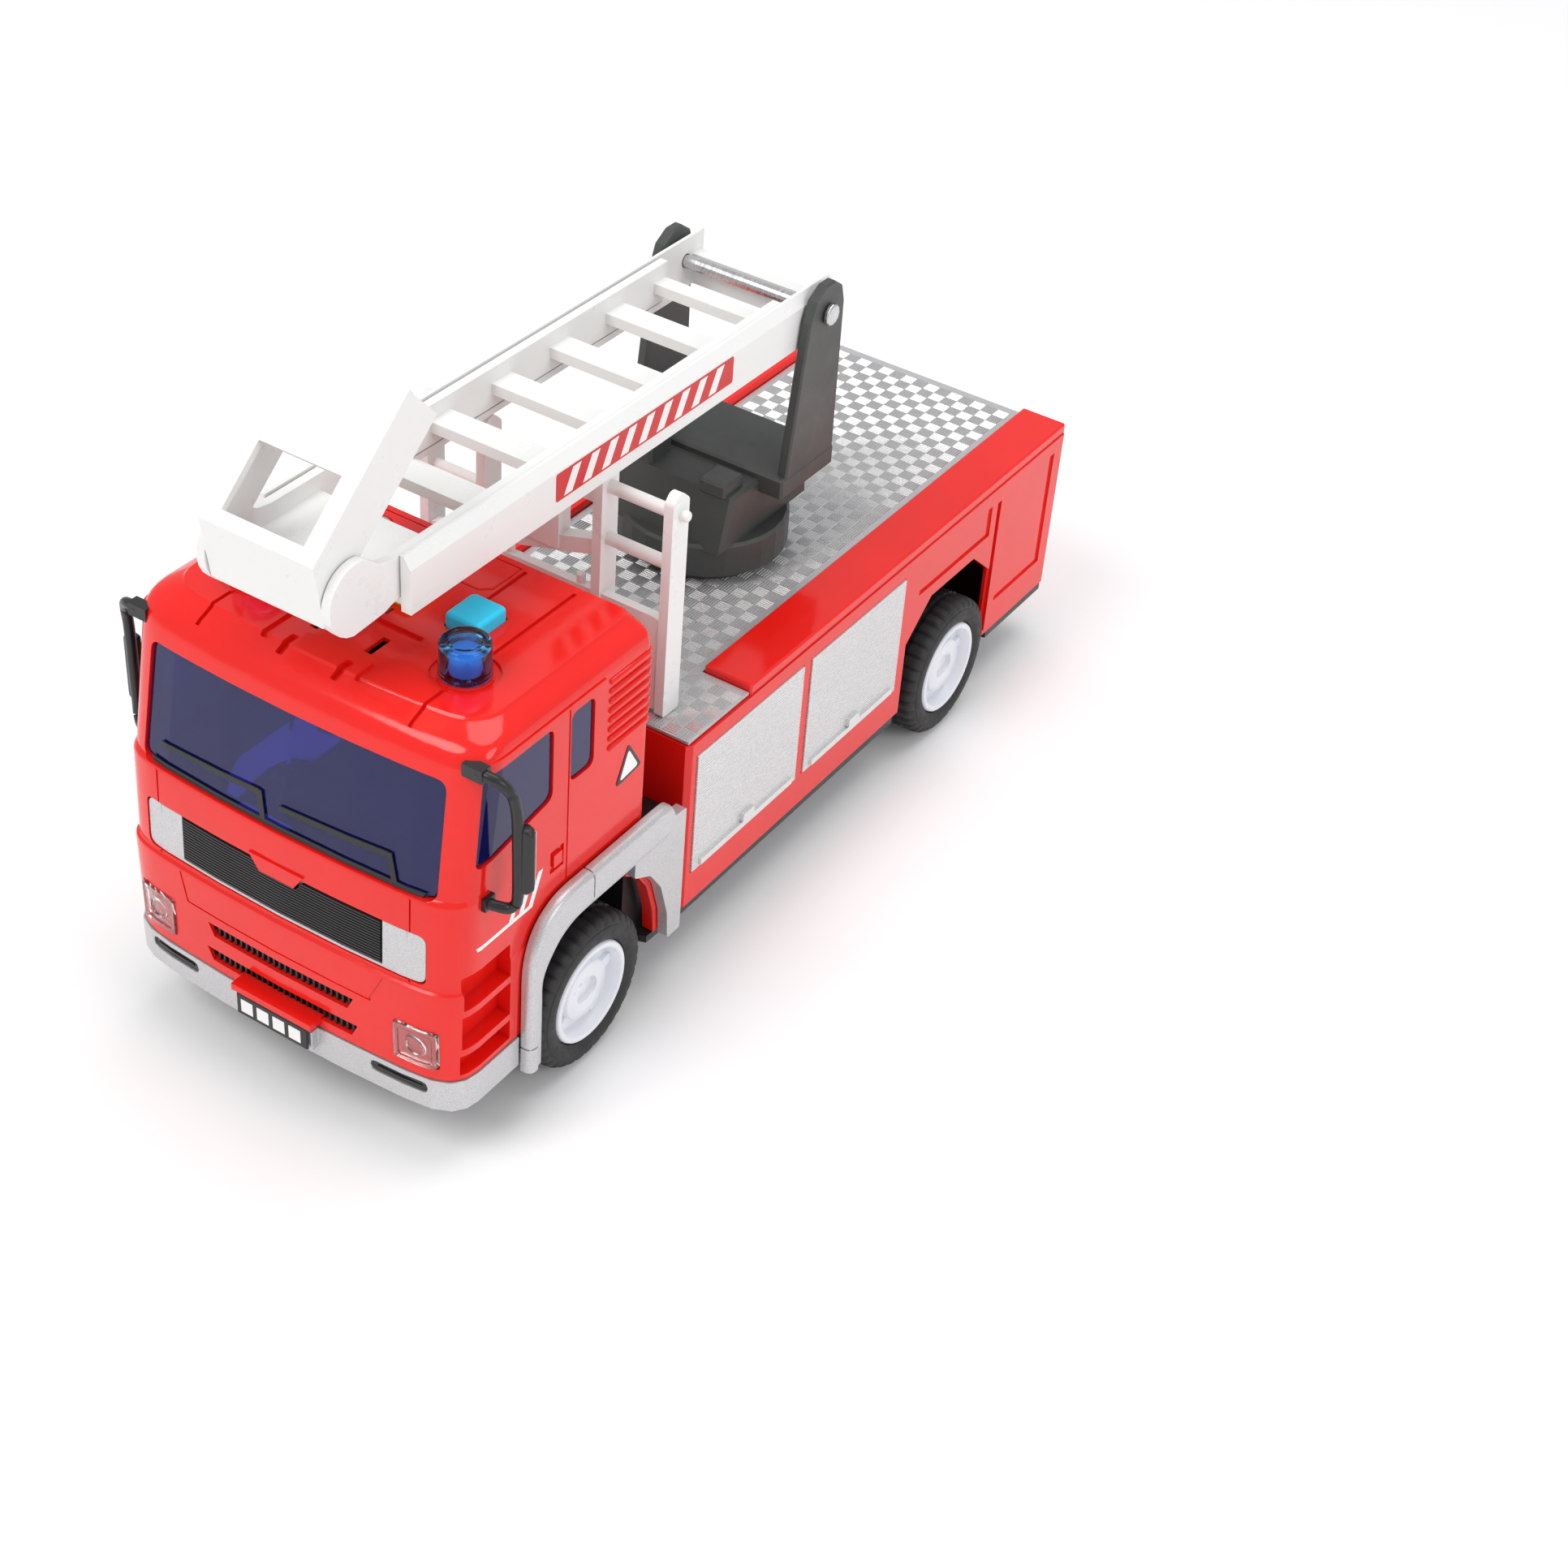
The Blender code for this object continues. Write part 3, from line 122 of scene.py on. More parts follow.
class Nodes:
    """A material's node tree with short calls for the nodes used below."""

    def __init__(self, name):
        self.material = bpy.data.materials.new(name)
        self.material.use_nodes = True
        self.tree = self.material.node_tree
        self.shader = self.tree.nodes["Principled BSDF"]
        MATERIALS[name] = self.material

    def set(self, **values):
        for key, value in values.items():
            self.shader.inputs[key.replace("_", " ")].default_value = value
        return self

    def new(self, kind, **settings):
        node = self.tree.nodes.new("ShaderNode" + kind)
        for key, value in settings.items():
            setattr(node, key, value)
        return node

    def link(self, a, b):
        self.tree.links.new(a, b)

    def place(self, scale=(1, 1, 1), turn=(0, 0, 0)):
        """The piece's own coordinates, scaled and turned."""
        coords = self.new("TexCoord")
        mapping = self.new("Mapping")
        mapping.inputs["Scale"].default_value = scale
        mapping.inputs["Rotation"].default_value = turn
        self.link(coords.outputs["Object"], mapping.inputs["Vector"])
        return mapping.outputs["Vector"]

    def noise(self, scale, detail=3.0, rough=0.55, where=None):
        node = self.new("TexNoise")
        node.inputs["Scale"].default_value = scale
        node.inputs["Detail"].default_value = detail
        node.inputs["Roughness"].default_value = rough
        self.link(where or self.place(), node.inputs["Vector"])
        return node.outputs["Fac"]

    def spread(self, value, low, high, start=0.3, end=0.7):
        node = self.new("MapRange")
        for key, number in (("From Min", start), ("From Max", end), ("To Min", low),
                            ("To Max", high)):
            node.inputs[key].default_value = number
        self.link(value, node.inputs["Value"])
        return node.outputs["Result"]

    def tint(self, value, dark, light):
        node = self.new("ValToRGB")
        node.color_ramp.elements[0].position = 0.3
        node.color_ramp.elements[1].position = 0.7
        node.color_ramp.elements[0].color = (*dark, 1)
        node.color_ramp.elements[1].color = (*light, 1)
        self.link(value, node.inputs["Fac"])
        self.link(node.outputs["Color"], self.shader.inputs["Base Color"])
        return node.outputs["Color"]

    def bump(self, value, depth, strength=1.0, under=None):
        node = self.new("Bump")
        node.inputs["Strength"].default_value = strength
        node.inputs["Distance"].default_value = depth
        self.link(value, node.inputs["Height"])
        if under is not None:
            self.link(under, node.inputs["Normal"])
        self.link(node.outputs["Normal"], self.shader.inputs["Normal"])
        return node.outputs["Normal"]


def shade(colour, k):
    return tuple(min(1.0, c * k) for c in colour)


def plastic(name, colour, rough, vary=0.06, peel=0.00003, glow=0.0, grain=0.0):
    """Moulded plastic: slight flow marks in the colour, uneven gloss, faint orange peel."""
    n = Nodes(name)
    n.set(IOR=1.46)
    n.tint(n.noise(26, 4.0, 0.6), shade(colour, 1 - vary), shade(colour, 1 + vary))
    n.link(n.spread(n.noise(90, 5.0, 0.65), rough * 0.82, rough * 1.22),
           n.shader.inputs["Roughness"])
    wave = n.bump(n.noise(240, 2.0), peel)
    if grain:
        n.bump(n.noise(2600, 2.0), grain, under=wave)
    if glow:
        n.set(Subsurface_Weight=glow, Subsurface_Radius=(1.0, 0.35, 0.25),
              Subsurface_Scale=0.0015)
    return n


def clear(name, colour, rough, through=1.0):
    """Clear tinted plastic with faint flow waves."""
    n = Nodes(name)
    n.set(IOR=1.45, Transmission_Weight=through)
    n.tint(n.noise(60, 2.0), shade(colour, 0.94), shade(colour, 1.06))
    n.link(n.spread(n.noise(140, 3.0), rough * 0.7, rough * 1.3), n.shader.inputs["Roughness"])
    n.bump(n.noise(150, 2.0), 0.00003)
    return n


def metal(name, colour, rough, streak=(400, 400, 400)):
    """Bare metal with fine tool marks."""
    n = Nodes(name)
    n.set(Metallic=1.0)
    marks = n.noise(1.0, 4.0, 0.6, n.place(streak))
    n.tint(marks, shade(colour, 0.85), shade(colour, 1.1))
    n.link(n.spread(marks, rough * 0.75, rough * 1.3), n.shader.inputs["Roughness"])
    n.bump(marks, 0.000004)
    return n


def silver(name, colour, rough):
    """Sprayed aluminium paint: fine flakes and a soft uneven coat."""
    n = Nodes(name)
    n.set(Metallic=0.55, IOR=1.5)
    flakes = n.new("TexVoronoi")
    flakes.inputs["Scale"].default_value = 3600
    n.link(n.place(), flakes.inputs["Vector"])
    n.tint(flakes.outputs["Distance"], shade(colour, 1.08), shade(colour, 0.86))
    n.link(n.spread(n.noise(70, 5.0, 0.65), rough * 0.85, rough * 1.25),
           n.shader.inputs["Roughness"])
    n.bump(flakes.outputs["Distance"], 0.00003, 0.6, n.bump(n.noise(300, 3.0), 0.00004))
    return n


def rubber(name, colour, rough, grain):
    """Matt rubber with a fine grain."""
    n = Nodes(name)
    n.set(IOR=1.5)
    n.tint(n.noise(120, 5.0, 0.7), shade(colour, 0.75), shade(colour, 1.35))
    n.link(n.spread(n.noise(500, 4.0, 0.7), rough * 0.85, rough * 1.15),
           n.shader.inputs["Roughness"])
    n.bump(n.noise(1500, 3.0, 0.7), grain)
    return n


def make_materials():
    plastic("red_gloss", (0.80, 0.012, 0.008), 0.12, 0.05, 0.00003, glow=0.06)
    plastic("white_plastic", (0.82, 0.82, 0.805), 0.3, 0.01, 0.00001, glow=0.05)
    plastic("hub_white", (0.80, 0.81, 0.86), 0.3, 0.02, 0.00002, glow=0.12)
    plastic("black_plastic", (0.016, 0.016, 0.017), 0.33, 0.25, 0.00003, grain=0.000008)
    plastic("plate_black", (0.010, 0.010, 0.011), 0.25, 0.15, 0.00002)
    plastic("turret_grey", (0.056, 0.061, 0.057), 0.42, 0.12, 0.00003, grain=0.00001)
    plastic("button_green", (0.25, 0.72, 0.06), 0.42, 0.04, 0.00002, glow=0.25)
    plastic("button_yellow", (0.93, 0.66, 0.02), 0.42, 0.04, 0.00002, glow=0.25)
    plastic("button_blue", (0.02, 0.66, 1.0), 0.42, 0.05, 0.00002, glow=0.25)
    plastic("board_green", (0.02, 0.17, 0.06), 0.4, 0.2)
    plastic("gear_plastic", (0.8, 0.77, 0.68), 0.4, 0.03, glow=0.15)
    clear("blue_glass", (0.018, 0.02, 0.24), 0.04, 0.74)
    clear("beacon_blue", (0.07, 0.46, 0.88), 0.05)
    clear("clear_lens", (0.97, 0.94, 0.94), 0.06, 0.97)
    clear("lamp_red", (0.75, 0.02, 0.015), 0.09, 0.7)
    silver("silver_paint", (0.60, 0.60, 0.61), 0.36)
    metal("steel", (0.62, 0.62, 0.63), 0.26, (2000, 300, 300))
    metal("cell_steel", (0.66, 0.66, 0.66), 0.22)
    metal("flywheel_zinc", (0.45, 0.45, 0.47), 0.42)
    rubber("tyre_rubber", (0.017, 0.017, 0.018), 0.62, 0.00003)
    # looks of new pieces only
    plastic("black_gloss", (0.012, 0.012, 0.013), 0.14, 0.2, 0.00001)
    plastic("print_white", (0.88, 0.87, 0.86), 0.4, 0.02, 0.00001)
    plastic("print_red", (0.62, 0.012, 0.012), 0.35, 0.05, 0.00001)
    plastic("beacon_light", (0.35, 0.75, 1.0), 0.3, 0.04, 0.00001)
    silver("silver_bright", (0.80, 0.80, 0.80), 0.3)
    # painted shade: a darker copy of the deck ribs' silver for the long-ribbed squares, standing in for
    # the light those ribs reflect less
    silver("silver_painted_shade", (0.50, 0.50, 0.49), 0.34)
    metal("mirror_silver", (0.78, 0.79, 0.80), 0.08)


# ================================================================ mesh tools
def raw(name, verts, faces):
    """A mesh object from millimetre coordinates, with its faces turned outwards."""
    mesh = bpy.data.meshes.new(name)
    mesh.from_pydata([tuple(v) for v in verts], [], faces)
    bm = bmesh.new()
    bm.from_mesh(mesh)
    bmesh.ops.recalc_face_normals(bm, faces=bm.faces)
    bm.to_mesh(mesh)
    bm.free()
    ob = bpy.data.objects.new(name, mesh)
    SCENE.collection.objects.link(ob)
    return ob


def loft(rings):
    """A closed solid through rings of equal count, one above the other."""
    n = len(rings[0])
    verts = [v for ring in rings for v in ring]
    faces = [list(range(n))[::-1], [len(verts) - n + i for i in range(n)]]
    for k in range(len(rings) - 1):
        for i in range(n):
            j = (i + 1) % n
            faces.append([k * n + i, k * n + j, (k + 1) * n + j, (k + 1) * n + i])
    return raw("shape", verts, faces)


def to_axis(axis, a, b, along):
    """Point with two coordinates across an axis and one along it."""
    return {"X": (along, a, b), "Y": (a, along, b), "Z": (a, b, along)}[axis]


def prism(axis, outline, lo, hi):
    """A straight solid: an outline drawn out along an axis."""
    return loft([[to_axis(axis, a, b, at) for a, b in outline] for at in (lo, hi)])


def box(x0, x1, y0, y1, z0, z1):
    return prism("Z", [(x0, y0), (x1, y0), (x1, y1), (x0, y1)], z0, z1)


def turned(axis, centre, profile, count, ring=False, shape=None):
    """A profile of (along, radius) points turned about an axis; a ring closes on itself."""
    rings = []
    for k, (along, r) in enumerate(profile):
        points = []
        for i in range(count):
            t = 2 * math.pi * i / count
            radius = shape(i, k, r) if shape else r
            points.append(to_axis(axis, centre[0] + radius * math.cos(t),
                                  centre[1] + radius * math.sin(t), along))
        rings.append(points)
    if not ring:
        return loft(rings)
    n, m = count, len(profile)
    verts = [v for points in rings for v in points]
    faces = [[k * n + i, k * n + (i + 1) % n, (k + 1) % m * n + (i + 1) % n,
              (k + 1) % m * n + i] for k in range(m) for i in range(n)]
    return raw("ring", verts, faces)


def rod(points, radius, sides=10):
    """A round bar along a path, with domed ends."""
    path = [Vector(p) for p in points]
    rings = []
    for i, p in enumerate(path):
        before, after = path[max(i - 1, 0)], path[min(i + 1, len(path) - 1)]
        way = (after - before).normalized()
        side = way.cross(Vector((0, 0, 1)) if abs(way.z) < 0.9 else Vector((0, 1, 0))).normalized()
        up = side.cross(way)
        turn = 1.0
        if 0 < i < len(path) - 1:
            turn = 1 / max(0.5, math.cos((p - before).angle(after - p) / 2))
        ends = ((-0.75, 0.5), (-0.35, 0.87), (0, 1)) if i == 0 else ((0, 1),)
        ends = ((0, 1), (0.35, 0.87), (0.75, 0.5)) if i == len(path) - 1 else ends
        for along, k in ends:
            ring = []
            for j in range(sides):
                t = 2 * math.pi * (j + 0.5) / sides
                ring.append(p + way * along * radius + side * (math.cos(t) * radius * k * turn)
                            + up * (math.sin(t) * radius * k))
            rings.append(ring)
    return loft(rings)


def discard(*things):
    """Removes tools that have done their work."""
    for ob in things:
        mesh = ob.data
        bpy.data.objects.remove(ob)
        bpy.data.meshes.remove(mesh)


def bake(ob):
    """Applies a piece's modifiers to its mesh."""
    bpy.context.view_layer.update()
    graph = bpy.context.evaluated_depsgraph_get()
    mesh = bpy.data.meshes.new_from_object(ob.evaluated_get(graph))
    old = ob.data
    ob.modifiers.clear()
    ob.data = mesh
    bpy.data.meshes.remove(old)
    return ob


def combine(ob, other, operation):
    """An exact boolean, baked at once; the second piece is used up."""
    mod = ob.modifiers.new("cut", "BOOLEAN")
    mod.operation, mod.solver, mod.object = operation, "EXACT", other
    bake(ob)
    discard(other)
    return ob


def cut(ob, *others):
    for other in others:
        combine(ob, other, "DIFFERENCE")
    return ob


def add(ob, *others):
    for other in others:
        combine(ob, other, "UNION")
    return ob


def keep(ob, other):
    return combine(ob, other, "INTERSECT")


def mirror_in_place(ob):
    """Turns a left-hand piece into a right-hand one."""
    ob.data.transform(Matrix.Scale(-1, 4, (1, 0, 0)))
    ob.data.flip_normals()


def both(tool):
    """A tool and its mirror image across X = 0."""
    twin = bpy.data.objects.new(tool.name, tool.data.copy())
    SCENE.collection.objects.link(twin)
    mirror_in_place(twin)
    return tool, twin


def joined(pieces):
    """Several separate shells as one object."""
    bm = bmesh.new()
    for ob in pieces:
        bm.from_mesh(ob.data)
    bm.to_mesh(pieces[0].data)
    bm.free()
    discard(*pieces[1:])
    return pieces[0]


def rounded(points, radius, steps=5):
    """A polygon with its corners rounded."""
    out, n = [], len(points)
    for i, p in enumerate(points):
        p = Vector(p)
        a, b = (Vector(points[i - 1]) - p), (Vector(points[(i + 1) % n]) - p)
        start = p + a.normalized() * min(radius, a.length * 0.45)
        end = p + b.normalized() * min(radius, b.length * 0.45)
        for k in range(steps + 1):
            t = k / steps
            out.append(tuple((1 - t) ** 2 * start + 2 * t * (1 - t) * p + t * t * end))
    return out


def soften(ob, width, limit=32, segments=2, dissolve=0.6):
    """Moulded edges: joins the mesh, rounds its edges and evens its shading."""
    weld = ob.modifiers.new("weld", "WELD")
    weld.merge_threshold = 0.000004
    if dissolve:
        flat = ob.modifiers.new("flat", "DECIMATE")
        flat.decimate_type, flat.angle_limit = "DISSOLVE", math.radians(dissolve)
    if width:
        bevel = ob.modifiers.new("edges", "BEVEL")
        bevel.width, bevel.segments, bevel.limit_method = width * MM, segments, "ANGLE"
        bevel.angle_limit = math.radians(limit)
        bevel.miter_outer = "MITER_ARC" if segments > 2 else "MITER_SHARP"
    normals = ob.modifiers.new("shading", "WEIGHTED_NORMAL")
    normals.keep_sharp, normals.weight = True, 60


def finish(ob, name, material, body, replaces=(), edge=0.35, limit=32, segments=2, smooth=35,
           dissolve=0.6):
    """Names a new piece, moves it to the row frame in metres and ties it to its body."""
    ob.name = ob.data.name = name
    ob.data.transform(Matrix.Translation((0, -MIDDLE_Y * MM, 0)) @ Matrix.Scale(MM, 4))
    ob.data.materials.clear()
    ob.data.materials.append(MATERIALS[material])
    for face in ob.data.polygons:
        face.use_smooth = True
    bm = bmesh.new()
    bm.from_mesh(ob.data)
    for e in bm.edges:
        e.smooth = len(e.link_faces) == 2 and e.calc_face_angle(0) < math.radians(smooth)
    bm.to_mesh(ob.data)
    bm.free()
    if edge:
        soften(ob, edge, limit, segments, dissolve)
    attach(ob, body)
    if replaces:
        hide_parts(*replaces)
    return ob


# ================================================================ cab form
CAB_HALF, CAB_REAR = 51.3, 77.2
# height, half width, front position on the middle line
CAB_TABLE = [
    (18.0, 51.0, 0.4), (53.6, 51.3, 0.0), (54.6, 51.2, 0.15), (55.0, 51.0, 0.8),
    (55.6, 51.0, 1.1), (79.4, 51.1, 1.9), (80.2, 51.1, 2.3), (81.0, 51.1, 3.2),
    (111.4, 51.1, 8.4), (114.0, 51.1, 8.9), (116.2, 51.0, 9.6), (117.8, 50.6, 10.6),
    (118.9, 50.0, 11.8), (119.8, 48.9, 13.2), (121.3, 45.9, 16.6), (121.5, 45.6, 16.9),
    (ROOF_Z, 45.2, 17.3),
]


# the face on one side: distance from the middle, and how far it lies behind the middle there
FACE = [(0, 0), (19, 0.4), (36.5, 1.4), (44, 2.5), (48.4, 4.6), (50.6, 7.6)]
CORNER_DEPTH = 11.5


def cab_section(z):
    """Half width and front position of the cab at a height."""
    for (z0, w0, f0), (z1, w1, f1) in zip(CAB_TABLE, CAB_TABLE[1:]):
        if z <= z1:
            t = max(0.0, (z - z0) / (z1 - z0))
            return w0 + (w1 - w0) * t, f0 + (f1 - f0) * t
    return CAB_TABLE[-1][1:]


def curve_through(points, steps):
    """A smooth line through points, with extra points between them."""
    out = []
    for i in range(len(points) - 1):
        p0, p1 = Vector(points[max(i - 1, 0)]), Vector(points[i])
        p2, p3 = Vector(points[i + 1]), Vector(points[min(i + 2, len(points) - 1)])
        for k in range(steps):
            t = k / steps
            out.append(tuple(0.5 * (2 * p1 + (p2 - p0) * t + (2 * p0 - 5 * p1 + 4 * p2 - p3) * t ** 2
                                    + (3 * p1 - p0 - 3 * p2 + p3) * t ** 3)))
    return out + [tuple(points[-1])]


def cab_plan(z, inset):
    """The cab's outline at a height, drawn in by an inset."""
    w, f = cab_section(z)
    w, f, rear = w - inset, f + inset, CAB_REAR - inset
    if z > 118:
        rear -= (z - 118) * 0.35
    k = w / CAB_HALF
    face = [(x * k, f + depth) for x, depth in FACE]
    front = curve_through(face + [(w, f + CORNER_DEPTH)], 4)
    half = front + [(w, rear - 2.6), (w - 0.3, rear - 1.4), (w - 0.9, rear - 0.7),
                    (w - 1.8, rear - 0.15), (w - 2.6, rear)]
    return half + [(-x, y) for x, y in reversed(half[1:])]


def cab_solid(inset, z0, z1):
    """The cab's outer form between two heights, drawn in by an inset all round."""
    levels = [z0] + [z for z, _, _ in CAB_TABLE if z0 + 0.05 < z < z1 - 0.05] + [z1]
    rings = []
    for z in levels:
        drop = inset * max(0.0, z - 111.4) / (ROOF_Z - 111.4)
        rings.append([(x, y, z - drop) for x, y in cab_plan(z, inset)])
    return loft(rings)


def cab_skin(outer, inner, z0, z1):
    """A layer of the cab's form between two insets."""
    return cut(cab_solid(outer, z0, z1), cab_solid(inner, z0 - 2, z1 + 2))


def shrunk(points, by):
    """A convex outline drawn in towards its middle."""
    cx = sum(p[0] for p in points) / len(points)
    cz = sum(p[1] for p in points) / len(points)
    return [(x - math.copysign(by, x - cx), z - math.copysign(by, z - cz)) for x, z in points]


WINDSCREEN = [(-44.0, 80.2), (44.0, 80.2), (43.2, 111.2), (-43.2, 111.2)]
DOOR_WINDOW = [(11.5, 88.4), (38.6, 93.0), (38.6, 113.0), (15.0, 113.0)]
REAR_WINDOW = [(45.2, 93.4), (54.2, 93.4), (54.2, 113.0), (45.2, 113.0)]
ARCH = [(30.6, 5), (30.6, 44), (43.5, 54.6), (110, 54.6), (110, 5)]
HATCH = [(-29.0, 65.0), (-26.0, 62.0), (-20.0, 61.6), (-19.0, 60.4), (12.5, 60.4), (15.0, 62.6),
         (15.0, 74.0), (-26.0, 74.0), (-29.0, 71.0)]


def side_box(s, x0, x1, y0, y1, z0, z1):
    """A box on the left (s = 1) or right (s = -1) side."""
    return box(min(s * x0, s * x1), max(s * x0, s * x1), y0, y1, z0, z1)


def cab_windows():
    """Tools for the windscreen and the side windows."""
    tools = [prism("Y", rounded(WINDSCREEN, 3.0), -4, 22)]
    for shape in (DOOR_WINDOW, REAR_WINDOW):
        for s in (-1, 1):
            ends = sorted((s * (CAB_HALF - 8), s * (CAB_HALF + 3)))
            tools.append(prism("X", rounded(shape, 2.4), *ends))
    return tools


def roof_sunk(cab, outline, depth):
    """Sinks an outline into the roof by an even depth."""
    layer = cut(cab_solid(-1, 104, ROOF_Z), cab_solid(depth, 102, ROOF_Z))
    cut(cab, keep(prism("Z", outline, 106, 130), layer))


def make_cab():
    """Red shell: windows, steps, slots, grooves, door handles and roof openings."""
    cab = cab_solid(0, 28.0, ROOF_Z)
    cut(cab, cab_solid(2.0, 22.0, ROOF_Z))
    for s in (-1, 1):
        add(cab, keep(side_box(s, 44.5, 50.2, 4.6, 28.5, 28.0, 63), cab_solid(0.6, 26, 66)))
    cut(cab, *cab_windows())
    cut(cab, prism("X", ARCH, -70, 70))
    for z0, z1, y0 in ((49.6, 59.4, 7.2), (37.4, 47.6, 6.8), (29.4, 35.4, 6.4)):
        cut(cab, *both(box(47.2, 60, y0, 23.4, z0, z1)))
    # air slots, headlamp openings and grille opening
    for top in (42.6, 34.4):
        half = 22.5 if top > 40 else 23.5
        cut(cab, prism("Y", [(-half, top), (half, top), (half - 1.8, top - 3.8),
                             (1.8 - half, top - 3.8)], -5, 9))
    cut(cab, *both(prism("Y", rounded([(34, 31.2), (46, 31.2), (46, 42.9), (34, 42.9)], 0.9), -5, 8)))
    cut(cab, prism("Y", rounded([(-42.4, 55.9), (42.4, 55.9), (42.4, 70.2), (-42.4, 70.2)], 2.2),
                   -5, 9))
    add(cab, prism("Y", [(-8.2, 71.6), (8.2, 71.6), (5.2, 67.3), (-5.2, 67.3)], 1.15, 2.9),
        box(-12.4, 12.4, -3.4, 1.6, 29.3, 31.2))
    # roof openings
    for x in (-BUTTON_STEP, 0, BUTTON_STEP):
        cut(cab, prism("Z", rounded([(x - 5.1, 44.2), (x + 5.1, 44.2), (x + 5.1, 55.8),
                                     (x - 5.1, 55.8)], 1.2), 116, 126))
    for s in (-1, 1):
        at = (s * BEACON_X, BEACON_Y)
        cut(cab, turned("Z", at, [(116, 5.3), (125, 5.3)], 40),
            turned("Z", at, [(121.4, 6.7), (123, 6.7), (123, 8.2), (121.4, 8.2)], 48, True))
    cut(cab, box(-9.0, -6.8, 26.4, 33.4, 116, 126), box(6.8, 9.0, 26.4, 33.4, 116, 126),
        box(-1.1, 1.1, 29.0, 31.4, 116, 126), prism("Z", HATCH, 120.9, 126),
        box(-18, 13, 61.8, 73.2, 116, 126),
        turned("Z", (-23.5, 68.0), [(116, 1.3), (126, 1.3)], 20))
    # grooves in the roof
    for x in (-31.4, -17.0, 15.9, 30.3):
        for y1, y2 in ((13.0, 26.0), (42.0, 73.4)) if abs(x) > 25 else ((59.0, 73.4),):
            roof_sunk(cab, [(x, y1), (x + 1.1, y1), (x + 1.1, y2), (x, y2)], 0.9)
    # sunk band with two legs round the speaker slots, and two pockets in front of it
    roof_sunk(cab, rounded([(-15.2, 16.6), (-12.2, 16.6), (-12.2, 23.4), (12.2, 23.4), (12.2, 16.6),
                            (15.2, 16.6), (15.2, 37.8), (-15.2, 37.8)], 0.6, 3), 0.9)
    for x in (-9.0, 6.9):
        roof_sunk(cab, rounded([(x, 14.6), (x + 2.1, 14.6), (x + 2.1, 20.8), (x, 20.8)], 0.5, 3), 1.3)
    # seams: door edge, handle recess, line down the front pillars, outline of the bumper panel
    for s in (-1, 1):
        cut(cab, side_box(s, CAB_HALF - 0.5, 60, 44.3, 44.9, 64.5, 116.0),
            side_box(s, CAB_HALF - 0.8, 60, 38.2, 43.4, 70.5, 77.0))
        cut(cab, keep(side_box(s, 37.8, 38.3, -5, 9, 55.4, 79.6), cab_skin(-2, 0.45, 50, 84)))
    panel = [(-31.4, 56), (-29.2, 45.2), (27.6, 44.9), (32.6, 56)]
    line = cut(prism("Y", panel, -5, 9), prism("Y", shrunk(panel, 0.55), -6, 10))
    cut(cab, keep(line, cab_skin(-2, 0.35, 42, 54.0)))
    # raised handle plate and rain strip over the doors
    for s in (-1, 1):
        add(cab, side_box(s, 50.2, CAB_HALF + 0.15, 39.2, 42.4, 72.0, 75.6),
            keep(side_box(s, 40, 56, 13.5, 58.0, 115.0, 115.8), cab_skin(-0.45, 1.0, 108, 120)))
    finish(cab, "cab_shell_look", "red_gloss", "truck", ["cab_shell"], edge=0.4, limit=28, smooth=26)
    for s, side in SIDES:
        ribs = []
        for i in range(8):
            z = 94.2 + 2.75 * i
            ribs.append(rod([(s * 51.0, 60.4, z), (s * 51.0, 74.6, z), (s * 50.2, 76.3, z),
                             (s * 48.5, 76.9, z), (s * 45.0, 76.9, z)], 0.85))
        finish(joined(ribs), "cab_louvres_" + side, "red_gloss", "truck", edge=0, smooth=50)


# ================================================================ front of the cab
def front_y(x, z):
    """How far behind Y = 0 the cab's face lies."""
    w, f = cab_section(z)
    k, x = w / CAB_HALF, abs(x)
    rows = [(half * k, f + depth) for half, depth in FACE[:-1]]
    for (x0, y0), (x1, y1) in zip(rows, rows[1:]):
        if x <= x1:
            return y0 + (y1 - y0) * (x - x0) / (x1 - x0)
    return rows[-1][1]


def front_bar(section, x0, x1, steps):
    """A bar that follows the cab's face; its section is (depth behind the face, height)."""
    rings = []
    for i in range(steps + 1):
        x = x0 + (x1 - x0) * i / steps
        rings.append([(x, front_y(x, z) + deep, z) for deep, z in section])
    return loft(rings)


